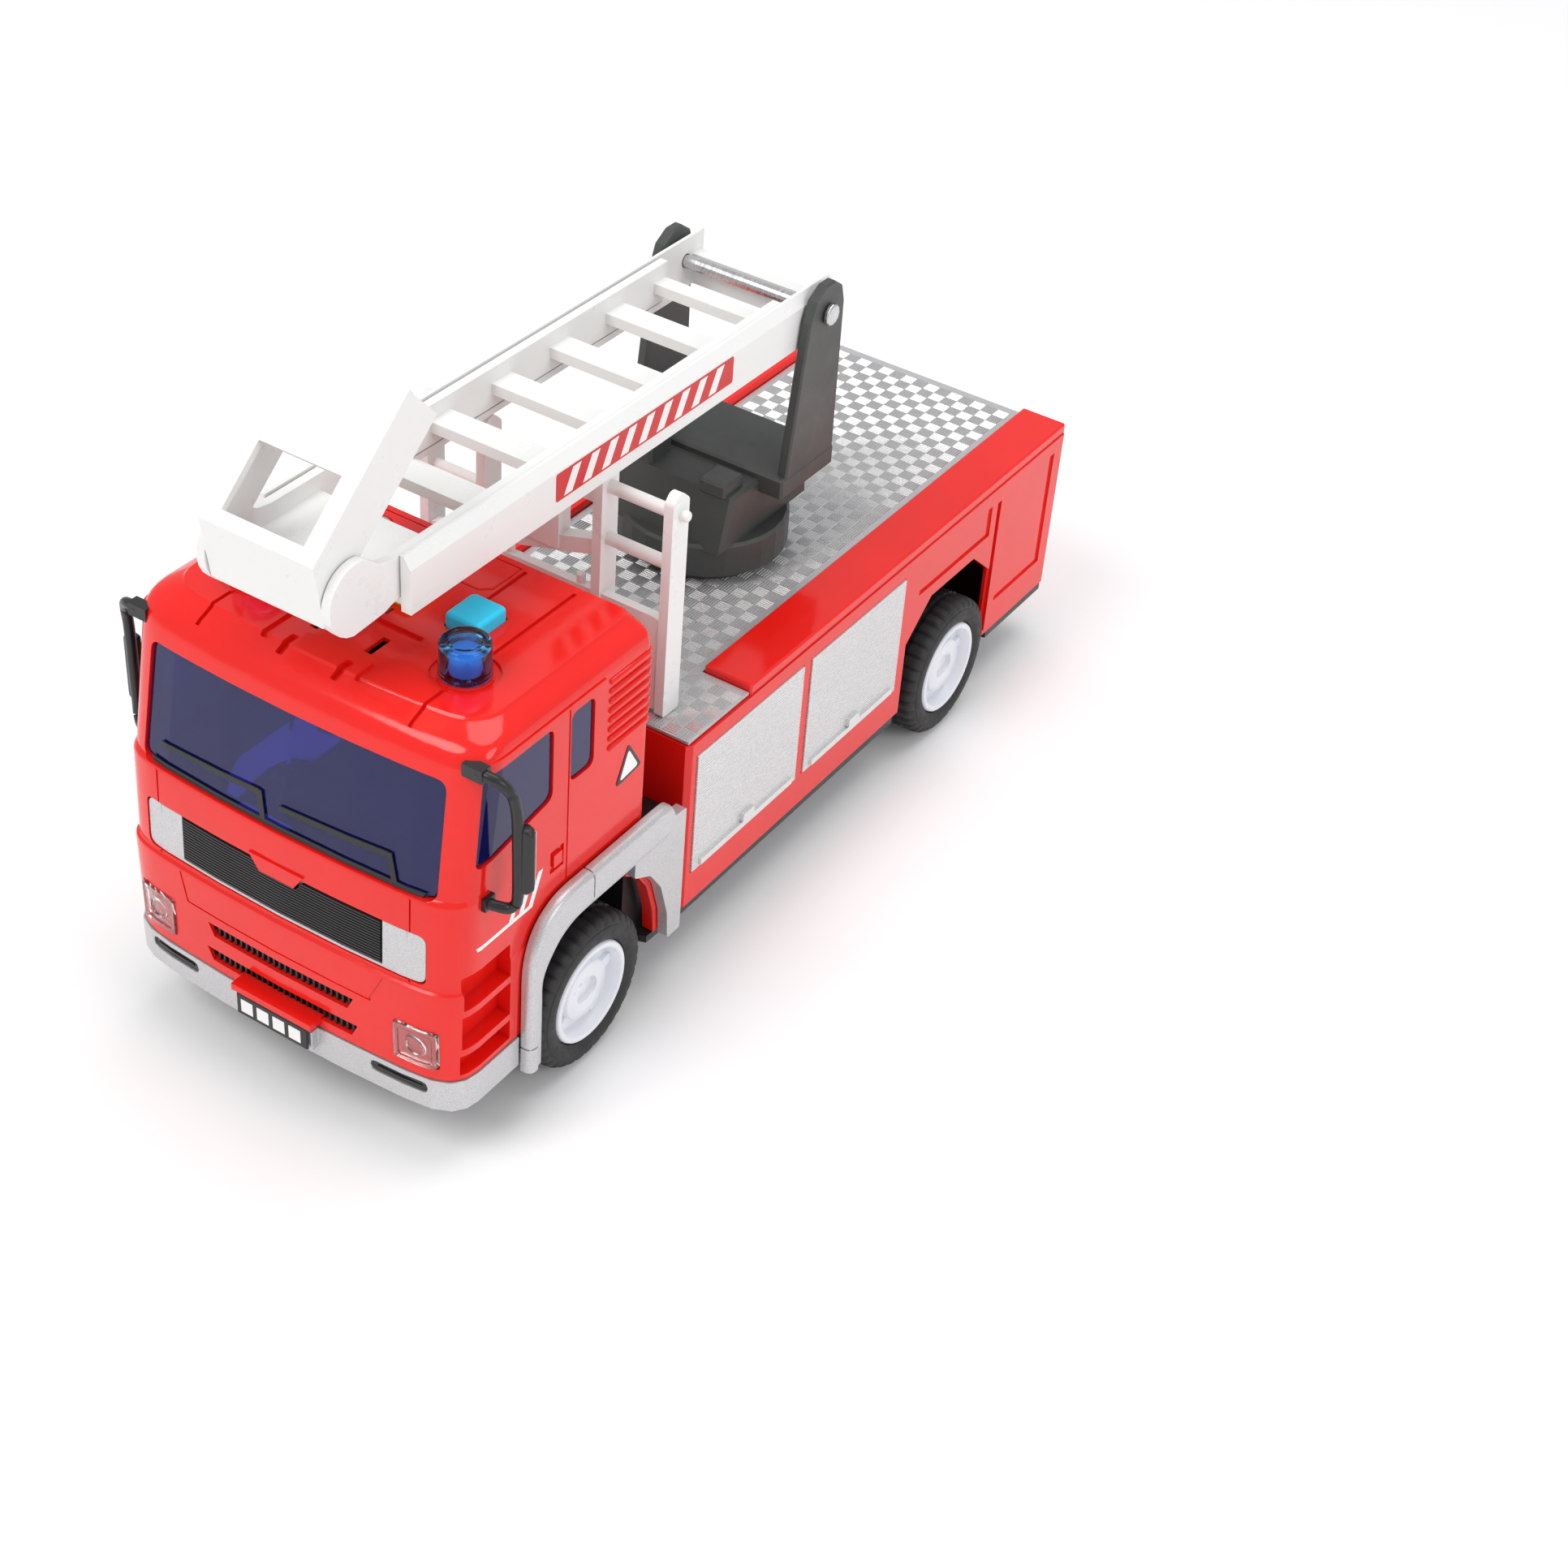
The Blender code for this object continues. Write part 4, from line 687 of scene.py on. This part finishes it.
def make_front():
    """Grille, silver surround, intake fins, headlamps, fog inserts and number plate."""
    ridges, low, high = 15, 57.3, 69.5
    pitch = (high - low) / ridges
    section = [(1.3, low), (1.3, high)]
    for i in reversed(range(ridges)):
        z = low + pitch * i
        section += [(0.5, z + pitch), (-0.1, z + 0.82 * pitch), (-0.1, z + 0.3 * pitch),
                    (0.5, z + 0.12 * pitch)]
    grille = front_bar(section + [(0.5, low)], -30.0, 30.0, 24)
    cut(grille, prism("Y", [(-9.2, 71.9), (9.2, 71.9), (5.6, 66.9), (-5.6, 66.9)], -5, 9))
    finish(grille, "grille_slats", "black_plastic", "truck", ["grille_insert"], edge=0, smooth=20)

    flat = [(0.12, 56.2), (2.3, 56.2), (2.3, 69.9), (0.12, 69.9)]
    surround = front_bar(flat, -42.1, 42.1, 40)
    keep(surround, prism("Y", rounded([(-42.1, 56.2), (42.1, 56.2), (42.1, 69.9), (-42.1, 69.9)],
                                      2.4), -5, 12))
    cut(surround, front_bar([(-2, 56.9), (1.55, 56.9), (1.55, 75), (-2, 75)], -30.4, 30.4, 24))
    for s in (-1, 1):
        x = s * 37.3
        cut(surround, front_bar([(-2, 50), (0.5, 50), (0.5, 75), (-2, 75)], x - 0.17, x + 0.17, 1))
    finish(surround, "grille_surround_look", "silver_paint", "truck", ["grille_surround"],
           edge=0.3, limit=30)

    fins = []
    for z0, z1, half in ((38.9, 42.5, 21.5), (30.7, 34.3, 22.3)):
        for i in range(int(2 * half / 1.75) + 1):
            x = -half + 1.75 * i
            y = front_y(x, z0) + 0.9
            fins.append(prism("Y", [(x - 0.3, z0), (x + 0.3, z0), (x + 0.22, z1), (x - 0.22, z1)],
                              y, y + 1.35))
        fins.append(front_bar([(1.7, z0 - 0.2), (2.2, z0 - 0.2), (2.2, z1 + 0.2), (1.7, z1 + 0.2)],
                              -half, half, 14))
    finish(joined(fins), "intake_fins", "black_plastic", "truck", edge=0, smooth=30)

    for s, side in SIDES:
        make_headlamp(s, side)
        slot = [(27.5, 23.1), (42.9, 23.1), (42.9, 25.9), (27.5, 25.9)]
        bars = [keep(prism("Y", rounded(slot, 1.3), -9, 9), cab_skin(0.1, 1.1, 18, 30))]
        bars.append(front_bar([(0.15, 24.2), (-0.3, 24.35), (-0.3, 24.75), (0.15, 24.9)], 29.0, 41.6, 8))
        insert = joined(bars)
        if s < 0:
            mirror_in_place(insert)
        finish(insert, "fog_insert_" + side, "black_gloss", "truck", edge=0.25, limit=40)

    bars = [box(-9.6 + 5.0 * i, -5.9 + 5.0 * i, -3.42, -3.2, 23.7, 27.6) for i in range(4)]
    finish(joined(bars), "number_plate_bars", "print_white", "truck", edge=0.1)


def make_headlamp(s, side):
    """Clear square lens with a raised border and a round optic, over a red bowl."""
    cx, cz = 40.0, 37.05
    outline = [(34.3, 31.5), (45.7, 31.5), (45.7, 42.6), (34.3, 42.6)]
    lens = keep(prism("Y", rounded(outline, 1.3), -5, 12), cab_skin(-0.55, 1.0, 24, 50))
    inner = [(35.5, 32.7), (44.5, 32.7), (44.5, 41.4), (35.5, 41.4)]
    cut(lens, keep(prism("Y", rounded(inner, 1.0), -5, 12), cab_skin(-3, -0.2, 24, 50)))
    y = front_y(cx, cz)
    optic = turned("Y", (cx, cz), [(y + 0.2, 3.1), (y - 0.55, 3.1), (y - 0.8, 2.8), (y - 0.8, 2.3),
                                   (y - 0.5, 2.0), (y + 0.2, 2.0)], 40, True)
    add(lens, optic)
    bowl = keep(prism("Y", rounded([(33.9, 31.1), (46.1, 31.1), (46.1, 43.0), (33.9, 43.0)], 1.0),
                      -5, 12), cab_skin(1.15, 2.25, 24, 50))
    cut(bowl, turned("Y", (cx, cz), [(y + 0.2, 3.5), (y + 1.5, 3.0), (y + 1.85, 2.0)], 36))
    if s < 0:
        mirror_in_place(lens)
        mirror_in_place(bowl)
    finish(lens, "headlamp_glass_" + side, "clear_lens", "truck", ["headlamp_lens_" + side],
           edge=0.3, limit=30, segments=3)
    finish(bowl, "headlamp_bowl_" + side, "red_gloss", "truck", edge=0.15, limit=40)


# ================================================================ wheel arches and wheels
def side_sweep(outer, inner, section, steps):
    """Sweeps a section between two matching lines in the side view."""
    lines = list(zip(curve_through(outer, steps), curve_through(inner, steps)))
    rings = []
    for o, i in lines:
        o, i = Vector(o), Vector(i)
        way = (i - o).normalized()
        ring = []
        for edge, distance, x in section:
            p = o + way * distance if edge == "o" else i - way * distance
            ring.append((x, p.x, p.y))
        rings.append(ring)
    return loft(rings)


def make_arches():
    """Silver wheel arches with a rear guard plate, and the red skirt behind the wheel."""
    outer = [(27.0, 16.2), (27.0, 34.0), (27.1, 46.5), (28.2, 53.2), (31.0, 58.8), (35.6, 62.5),
             (41.5, 64.3), (52.0, 64.4), (66.0, 64.4), (79.0, 64.4), (83.4, 63.9), (85.2, 62.0),
             (85.6, 59.6)]
    inner = [(31.6, 16.2), (31.6, 34.0), (31.8, 41.6), (33.0, 45.6), (35.9, 49.4), (39.8, 52.6),
             (45.2, 54.5), (53.0, 54.9), (66.0, 54.9), (77.0, 54.9), (80.6, 54.9), (83.0, 55.2),
             (84.4, 56.2)]
    section = [("o", 0, 51.65), ("o", 0, 53.0), ("o", 0.25, 53.9), ("o", 0.8, 54.55),
               ("o", 1.7, 54.88), ("i", 1.75, 54.88), ("i", 1.3, 54.6), ("i", 1.05, 54.15),
               ("i", 0.9, 53.95), ("i", 0.7, 53.95), ("i", 0.5, 54.15), ("i", -0.6, 54.0),
               ("i", -1.1, 53.6), ("i", -1.25, 53.0), ("i", -1.25, 51.65)]
    for s, side in SIDES:
        arch = side_sweep(outer, inner, section, 4)
        cut(arch, box(54.3, 56, 50.9, 51.4, 50, 66), box(50, 56, 50.9, 51.4, 63.9, 66),
            box(54.3, 56, 25, 34, 23.7, 24.2), box(50, 56, 25, 27.5, 23.7, 24.2))
        guard = rounded([(71.5, 47.6), (71.5, 53.3), (86.2, 53.4), (87.0, 57.2), (93.2, 56.6),
                         (93.2, 17.0), (87.6, 17.0), (86.9, 26.0), (83.4, 37.0), (78.4, 44.0)], 0.7, 3)
        plate = prism("X", guard, 49.6, 52.6)
        piece = joined([arch, plate])
        skirt = prism("X", [(72.0, 46.2), (77.2, 42.8), (82.0, 36.4), (85.4, 25.8), (86.0, 18.2),
                            (88.6, 18.2), (88.2, 27.0), (84.8, 38.0), (79.2, 45.8), (73.0, 49.0)],
                      45.6, 49.35)
        if s < 0:
            mirror_in_place(piece)
            mirror_in_place(skirt)
        finish(piece, "wheel_arch_" + side, "silver_paint", "truck", ["wheel_arch_trim_" + side],
               edge=0.22, limit=40, smooth=42)
        finish(skirt, "cab_skirt_" + side, "red_gloss", "truck", edge=0.3)


def make_wheels():
    """Treaded tyres on deep white hubs, and the axle rods that end inside the hubs."""
    band = [(39.8, 14.5), (39.8, 18.2), (40.1, 19.4), (40.7, 20.4), (41.6, 21.1), (42.6, 21.35),
            (45.4, 21.4), (45.5, 20.75), (46.9, 20.75), (47.0, 21.4), (50.0, 21.35), (51.0, 21.1),
            (51.75, 20.5), (52.2, 19.7), (52.3, 18.9), (52.62, 18.5), (52.8, 17.4), (52.7, 16.0),
            (52.3, 15.2), (52.0, 14.5)]

    # every fourth row of points sinks into a tread groove; the two shoulders are staggered
    def tread(i, k, r):
        shift = 0 if k < 7 else 2
        return r - 0.75 * min(1.0, (r - 18.6) / 1.6) if r > 18.6 and (i + shift) % 4 == 0 else r

    dish = [(38.6, 1.7), (38.6, 4.6), (43.5, 6.0), (43.5, 12.9), (40.2, 14.0), (40.4, 14.2),
            (51.5, 14.2), (52.2, 13.95), (52.5, 13.5), (52.5, 12.7), (52.2, 12.35), (49.0, 11.9),
            (48.3, 11.6), (48.1, 11.1), (48.1, 8.9), (48.4, 8.5), (50.5, 8.15), (50.8, 7.8),
            (50.8, 4.1), (50.5, 3.8), (49.1, 3.5), (48.9, 3.2), (48.9, 0.05), (47.0, 0.05),
            (47.0, 1.7)]

    # the hub's middle boss is slightly oval
    def recess(i, k, r):
        t = 2 * math.pi * i / 64
        return r * (1 + 0.13 * math.cos(2 * t)) if 19 <= k <= 21 else r

    for label, y in AXLES_Y:
        body = label + "_wheels"
        for s, side in SIDES:
            at = (y, AXLE_Z)
            tyre = turned("X", at, [(s * a, r) for a, r in band], 144, True, tread)
            finish(tyre, f"tyre_tread_{label}_{side}", "tyre_rubber", body,
                   [f"tyre_{label}_{side}"], edge=0, smooth=28)
            hub = turned("X", at, [(s * a, r) for a, r in dish], 64, True, recess)
            ribs = []
            for n in range(5):
                t = 2 * math.pi * (n + 0.15) / 5
                rib = box(*sorted((s * 47.6, s * 49.3)), 8.2, 12.2, -1.5, 1.5)
                turn = Matrix.Translation((0, y, AXLE_Z)) @ Matrix.Rotation(t, 4, "X")
                rib.data.transform(turn)
                ribs.append(rib)
            finish(joined([hub] + ribs), f"hub_dish_{label}_{side}", "hub_white", body,
                   [f"hub_{label}_{side}"], edge=0, smooth=42)
        axle = turned("X", (y, AXLE_Z), [(-46.6, 1.2), (-46.2, 1.5), (-35.0, 1.5), (35.0, 1.5),
                                         (46.2, 1.5), (46.6, 1.2)], 28)
        finish(axle, "axle_rod_" + label, "steel", body, ["axle_" + label], edge=0.1)


# ================================================================ roof pieces
def make_roof_pieces():
    """Round-edged push buttons, each with a flange under the roof and a pin."""
    half_x, half_y, round_by = 5.0, 5.5, 1.15
    shoulder = BUTTON_TOP - round_by
    levels = [(118.4, 0.0), (shoulder, 0.0)]
    levels += [(shoulder + round_by * math.sin(a), round_by * (1 - math.cos(a)))
               for a in (0.35, 0.7, 1.05, 1.35)]
    levels.append((BUTTON_TOP, round_by + 0.25))
    for i, tint in ((-1, "green"), (0, "yellow"), (1, "blue")):
        x = BUTTON_STEP * i
        rings = []
        for z, by in levels:
            left, right = x - half_x + by, x + half_x - by
            ahead, behind = BUTTON_Y - half_y + by, BUTTON_Y + half_y - by
            outline = rounded([(left, ahead), (right, ahead), (right, behind), (left, behind)],
                              1.5 - 0.5 * by, 5)
            rings.append([(a, b, z) for a, b in outline])
        cap = loft(rings)
        foot = prism("Z", rounded([(x - 6, 43.2), (x + 6, 43.2), (x + 6, 56.8), (x - 6, 56.8)], 1.0),
                     118.2, 119.4)
        pin = turned("Z", (x, BUTTON_Y), [(116.4, 1.3), (116.7, 1.6), (118.4, 1.6)], 20)
        finish(joined([cap, foot, pin]), "push_button_" + tint, "button_" + tint,
               tint + "_button", ["button_" + tint], edge=0, smooth=40)


def make_beacons():
    """Clear blue beacons with a round recess on top, over a pale inner lamp."""
    top, r = BEACON_TOP, BEACON_R
    shell = [(118.6, 4.9), (122.3, 4.9), (122.35, r - 0.15), (122.6, r), (top - 0.9, r - 0.2),
             (top - 0.45, r - 0.32), (top - 0.12, r - 0.62), (top, r - 1.05), (top, r - 1.75),
             (top - 0.4, r - 1.95), (top - 0.4, r - 2.35), (top - 0.05, r - 2.55), (top, 0.6)]
    for s, side in SIDES:
        at = (s * BEACON_X, BEACON_Y)
        dome = turned("Z", at, shell, 48)
        cut(dome, turned("Z", at, [(118.0, 4.9), (118.5, 4.3), (128.6, 4.3), (129.3, 3.8),
                                   (129.6, 2.6)], 40))
        finish(dome, "beacon_dome_" + side, "beacon_blue", "truck", ["beacon_" + side],
               edge=0, smooth=35)
        core = turned("Z", at, [(122.9, 1.0), (123.4, 3.4), (125.0, 3.9), (127.6, 3.7), (128.3, 2.9),
                                (128.5, 0.8)], 32)
        finish(core, "beacon_core_" + side, "beacon_light", "truck", edge=0, smooth=50)


def make_mirrors():
    """Mirror heads on round arms, with feet that follow the cab's corner."""
    path = curve_through([(49.6, 13.2, 115.3), (52.4, 13.6, 115.1), (54.9, 14.6, 113.9),
                          (56.7, 16.2, 110.4), (57.3, 17.2, 105.0), (57.4, 17.5, 95.0),
                          (57.4, 17.6, 82.0), (57.0, 17.3, 78.9), (55.6, 16.4, 77.6),
                          (52.6, 14.7, 78.2), (49.8, 14.0, 78.6)], 4)
    for s, side in SIDES:
        arm = rod(path, 1.35, 12)
        rings = []
        for x, by in ((56.7, 0.6), (57.1, 0.15), (58.4, 0.0), (59.8, 0.25), (60.5, 0.8), (60.85, 1.7)):
            shape = rounded([(17.2 + by, 82.4 + by), (20.5 - by, 82.4 + by), (20.5 - by, 101.0 - by),
                             (17.2 + by, 101.0 - by)], 0.9, 4)
            rings.append([(x, y, z) for y, z in shape])
        head = loft(rings)
        glass = box(57.5, 60.1, 20.42, 20.6, 84.0, 99.4)
        feet = [cut(box(46.0, x, *span), cab_solid(0.3, 70, ROOF_Z))
                for x, span in ((51.6, (12.0, 15.2, 113.5, 116.9)), (52.2, (12.6, 16.2, 76.9, 80.4)))]
        piece = joined([arm, head] + feet)
        if s < 0:
            mirror_in_place(piece)
            mirror_in_place(glass)
        finish(piece, "mirror_arm_" + side, "black_plastic", "truck", ["mirror_" + side],
               edge=0.3, limit=50, smooth=45)
        finish(glass, "mirror_face_" + side, "mirror_silver", "truck", edge=0.08)


# ================================================================ printed and stuck markings
def flat_shape(axis, outline, lo, hi, name, material, body):
    """A thin printed mark: an outline laid on a flat surface."""
    piece = prism(axis, outline, lo, hi)
    return finish(piece, name, material, body, edge=0, smooth=10)


def make_markings():
    """Plain stripes on the doors, a plain triangle sign, button symbols, ladder label."""
    stripe, lean = 1.7, 3.44
    for s, side in SIDES:
        lo, hi = sorted((s * 46.0, s * 54.0))
        marks = [prism("X", [(11.4, 65.3), (31.4, 65.3), (31.9, 66.4), (11.0, 66.4)], lo, hi)]
        for y in (22.7, 26.5, 30.2):
            marks.append(prism("X", [(y, 66.5), (y + stripe, 66.5), (y + stripe + lean, 74.4),
                                     (y + lean, 74.4)], lo, hi))
        marks = [keep(mark, cab_skin(-0.12, 0.3, 60, 80)) for mark in marks]
        finish(joined(marks), "door_stripes_" + side, "print_white", "truck", edge=0, smooth=10)
        sign = [(68.2, 91.0), (73.9, 81.7), (63.4, 80.4)]
        lo, hi = sorted((s * 50.9, s * 51.24))
        flat_shape("X", rounded(sign, 1.6), lo, hi, "sign_edge_" + side, "plate_black", "truck")
        inner = [(68.3, 89.2), (72.4, 82.4), (64.9, 81.5)]
        lo, hi = sorted((s * 50.9, s * 51.30))
        flat_shape("X", rounded(inner, 1.2), lo, hi, "sign_face_" + side, "print_white", "truck")
        # red label with hazard stripes on the ladder's rail
        lo, hi = sorted((s * 21.9, s * 22.08))
        flat_shape("X", rounded([(77.0, 141.5), (150.0, 141.5), (150.0, 149.0), (77.0, 149.0)], 0.8),
                   lo, hi, "ladder_label_" + side, "print_red", "ladder")
        lo, hi = sorted((s * 21.9, s * 22.13))
        bars = [prism("X", [(y, 142.1), (y + 3.2, 142.1), (y + 6.6, 148.4), (y + 3.4, 148.4)], lo, hi)
                for y in [80.0 + 7.4 * i for i in range(9)]]
        finish(joined(bars), "ladder_label_bars_" + side, "print_white", "ladder", edge=0, smooth=10)
    symbols = {
        "lamp": [[(-1.6, -1.3), (1.6, -1.3), (1.2, 1.3), (-1.2, 1.3)],
                 [(-2.1, -1.9), (2.1, -1.9), (2.1, -1.5), (-2.1, -1.5)]],
        "horn": [[(-2.0, -0.5), (-0.8, -0.5), (1.0, -1.7), (1.0, 1.7), (-0.8, 0.5), (-2.0, 0.5)],
                 [(1.5, -1.0), (1.9, -1.0), (1.9, 1.0), (1.5, 1.0)]],
        "flame": [[(-1.3, -1.8), (1.3, -1.8), (1.7, -0.4), (0.5, 1.9), (-0.2, 0.5), (-1.0, 1.3),
                   (-1.7, -0.4)]],
    }
    grow = 1.25
    for i, (symbol, shapes) in enumerate(symbols.items()):
        marks = [prism("Z", [(BUTTON_STEP * (i - 1) + grow * x, 41.2 + grow * y) for x, y in shape],
                       ROOF_Z - 0.1, ROOF_Z + 0.06) for shape in shapes]
        finish(joined(marks), "symbol_" + symbol, "plate_black", "truck", edge=0, smooth=10)


# ================================================================ body, deck and guard frame
def make_shutters():
    """Roller shutters with fine ribs, a pull bar and a small catch."""
    count, low, high = 44, 28.9, 66.7
    pitch = (high - low) / count
    for s, side in SIDES:
        for place, y0, y1 in (("front", 100.9, 150.3), ("rear", 154.3, 202.7)):
            face = []
            for i in range(count):
                z = low + pitch * i
                face += [(49.95, z), (50.4, z + 0.25 * pitch), (50.4, z + 0.8 * pitch)]
            profile = [(49.25, low)] + face + [(49.95, high), (49.25, high)]
            slats = prism("Y", [(s * x, z) for x, z in profile], y0, y1)
            bar = side_box(s, 50.0, 51.2, y0 + 3, y1 - 3, 30.0, 31.9)
            middle = (y0 + y1) / 2
            catch = side_box(s, 50.0, 51.6, middle - 2.6, middle + 2.6, 32.2, 34.6)
            finish(joined([slats, bar, catch]), f"shutter_slats_{place}_{side}", "silver_bright",
                   "truck", [f"shutter_{place}_{side}"], edge=0, smooth=12)


def make_deck():
    """Silver deck with a chequer of finely ribbed squares; the long-ribbed squares take a darker silver,
    painted shade for their weaker reflection.
    """
    half = [(49.2, 97.6), (49.2, 124.7), (34.7, 124.7), (34.7, 295.2)]
    outline = half + [(-x, y) for x, y in reversed(half)]
    plate = prism("Z", outline, DECK_TOP - 0.9, DECK_TOP)
    cut(plate, turned("Z", (0, TURNTABLE_Y), [(60, 8.6), (90, 8.6)], 40))
    finish(plate, "deck_sheet", "silver_paint", "truck", ["deck_plate"], edge=0.15)
    size, ribs, rows = 4.05, 5, 48
    foot_z, crest_z = DECK_TOP - 0.05, DECK_TOP + 0.25
    tones = ([], []), ([], [])
    for row in range(rows):
        y = 98.0 + size * row
        reach = 48.6 if y + size < 124.5 else 34.4
        count = int(2 * reach / size)
        for col in range(count):
            x = (col - count / 2) * size
            if math.hypot(x + size / 2, y + size / 2 - TURNTABLE_Y) < 11.5:
                continue
            # the tone sets the rib direction and the painted shade: long-ribbed squares get the darker
            # silver
            tone = (row + col) % 2
            verts, faces = tones[tone]
            for i in range(ribs):
                a = 0.12 + i * (size - 0.2) / ribs
                b = a + 0.5
                if tone:
                    foot = [(x + a, y + 0.05), (x + b, y + 0.05), (x + b, y + size - 0.05),
                            (x + a, y + size - 0.05)]
                    crest = [(x + (a + b) / 2, y + 0.2), (x + (a + b) / 2, y + size - 0.2)]
                else:
                    foot = [(x + 0.05, y + b), (x + 0.05, y + a), (x + size - 0.05, y + a),
                            (x + size - 0.05, y + b)]
                    crest = [(x + 0.2, y + (a + b) / 2), (x + size - 0.2, y + (a + b) / 2)]
                n = len(verts)
                verts += [(p, q, foot_z) for p, q in foot] + [(p, q, crest_z) for p, q in crest]
                faces += [(n, n + 3, n + 2, n + 1), (n, n + 1, n + 4), (n + 2, n + 3, n + 5),
                          (n + 1, n + 2, n + 5, n + 4), (n + 3, n, n + 4, n + 5)]
    # cross-ribbed squares keep the bright rib silver, long-ribbed ones the darker copy as painted shade
    for (verts, faces), label, look in zip(tones, ("cross", "long"), ("silver_bright", "silver_painted_shade")):
        finish(raw("ribs", verts, faces), "deck_ribs_" + label, look, "truck", edge=0, smooth=5)


def make_guard_frame():
    """White frame of flat posts and round bars, with its slanting brace and cradle."""
    y0, y1, low, top = 101.4, 108.2, DECK_TOP + 0.3, 137.3
    middle = (y0 + y1) / 2
    side = rounded([(y0, low), (y1, low), (y1, top - 2.6), (y0 + 4.0, top), (y0 + 2.0, top),
                    (y0, top - 2.2)], 0.8, 3)
    whole = prism("X", side, -38.5, -35.8)
    parts = [prism("X", side, x0, x1) for x0, x1 in ((35.8, 38.5), (15.2, 17.9), (-20.5, -17.8))]
    panel = rounded([(-37.1, low + 0.9), (37.1, low + 0.9), (37.1, 101.5), (-37.1, 101.5)], 4.0)
    parts.append(prism("Y", panel, y0 + 0.6, y0 + 3.2))
    for z in (116.4, 131.2):
        for a, b in ((16.6, 36.8), (-36.8, -19.2)):
            parts.append(turned("X", (middle, z), [(a, 1.75), (b, 1.75)], 24))
    cradle = [(-18.2, 109.0), (4.8, 109.0), (4.8, 127.0), (16.2, 127.0), (16.2, 131.4), (-0.6, 131.4),
              (-0.6, 113.4), (-18.2, 113.4)]
    parts += [prism("Y", [(16.4, 112.0), (16.4, 116.5), (-19.2, 106.5), (-19.2, 102.0)],
                    y0 + 0.9, y1 - 2.0),
              prism("Y", rounded(cradle, 0.7, 3), y0 + 0.4, y1 - 1.5)]
    for s in (-1, 1):
        parts += [turned("X", (middle + 0.4, 131.2), [(s * 37.6, 1.5), (s * 40.0, 1.5),
                                                      (s * 40.5, 1.25), (s * 40.8, 0.7)], 20),
                  turned("Z", (s * 11.0, y0 + 1.9), [(100.0, 1.2), (104.0, 1.2), (104.4, 0.8)], 20)]
    for part in parts:
        add(whole, part)
    finish(whole, "guard_frame_look", "white_plastic", "truck", ["guard_frame"], edge=0.55,
           limit=38, segments=3, smooth=38)


# ================================================================ CAD nodes that stay
# edge rounding of the finer ones, in mm
EDGES = {"circuit_board": 0.1, "battery_tray": 0.2, "flywheel": 0.15, "drive_gear": 0.12}


def dress_cad_nodes():
    """Every CAD node takes its slot's material and rounded edges."""
    slots = {s["node"]: s["material_slot"] for s in frame["record"]["subparts"]}
    for name, ob in NODES.items():
        ob.data.materials.clear()
        ob.data.materials.append(MATERIALS[slots[name]])
        soften(ob, EDGES.get(name, 0.35), segments=3 if name.startswith("button_cell_") else 2)


make_camera()
make_stage()
make_materials()
dress_cad_nodes()
make_cab()
make_front()
make_arches()
make_wheels()
make_roof_pieces()
make_beacons()
make_mirrors()
make_markings()
make_shutters()
make_deck()
make_guard_frame()
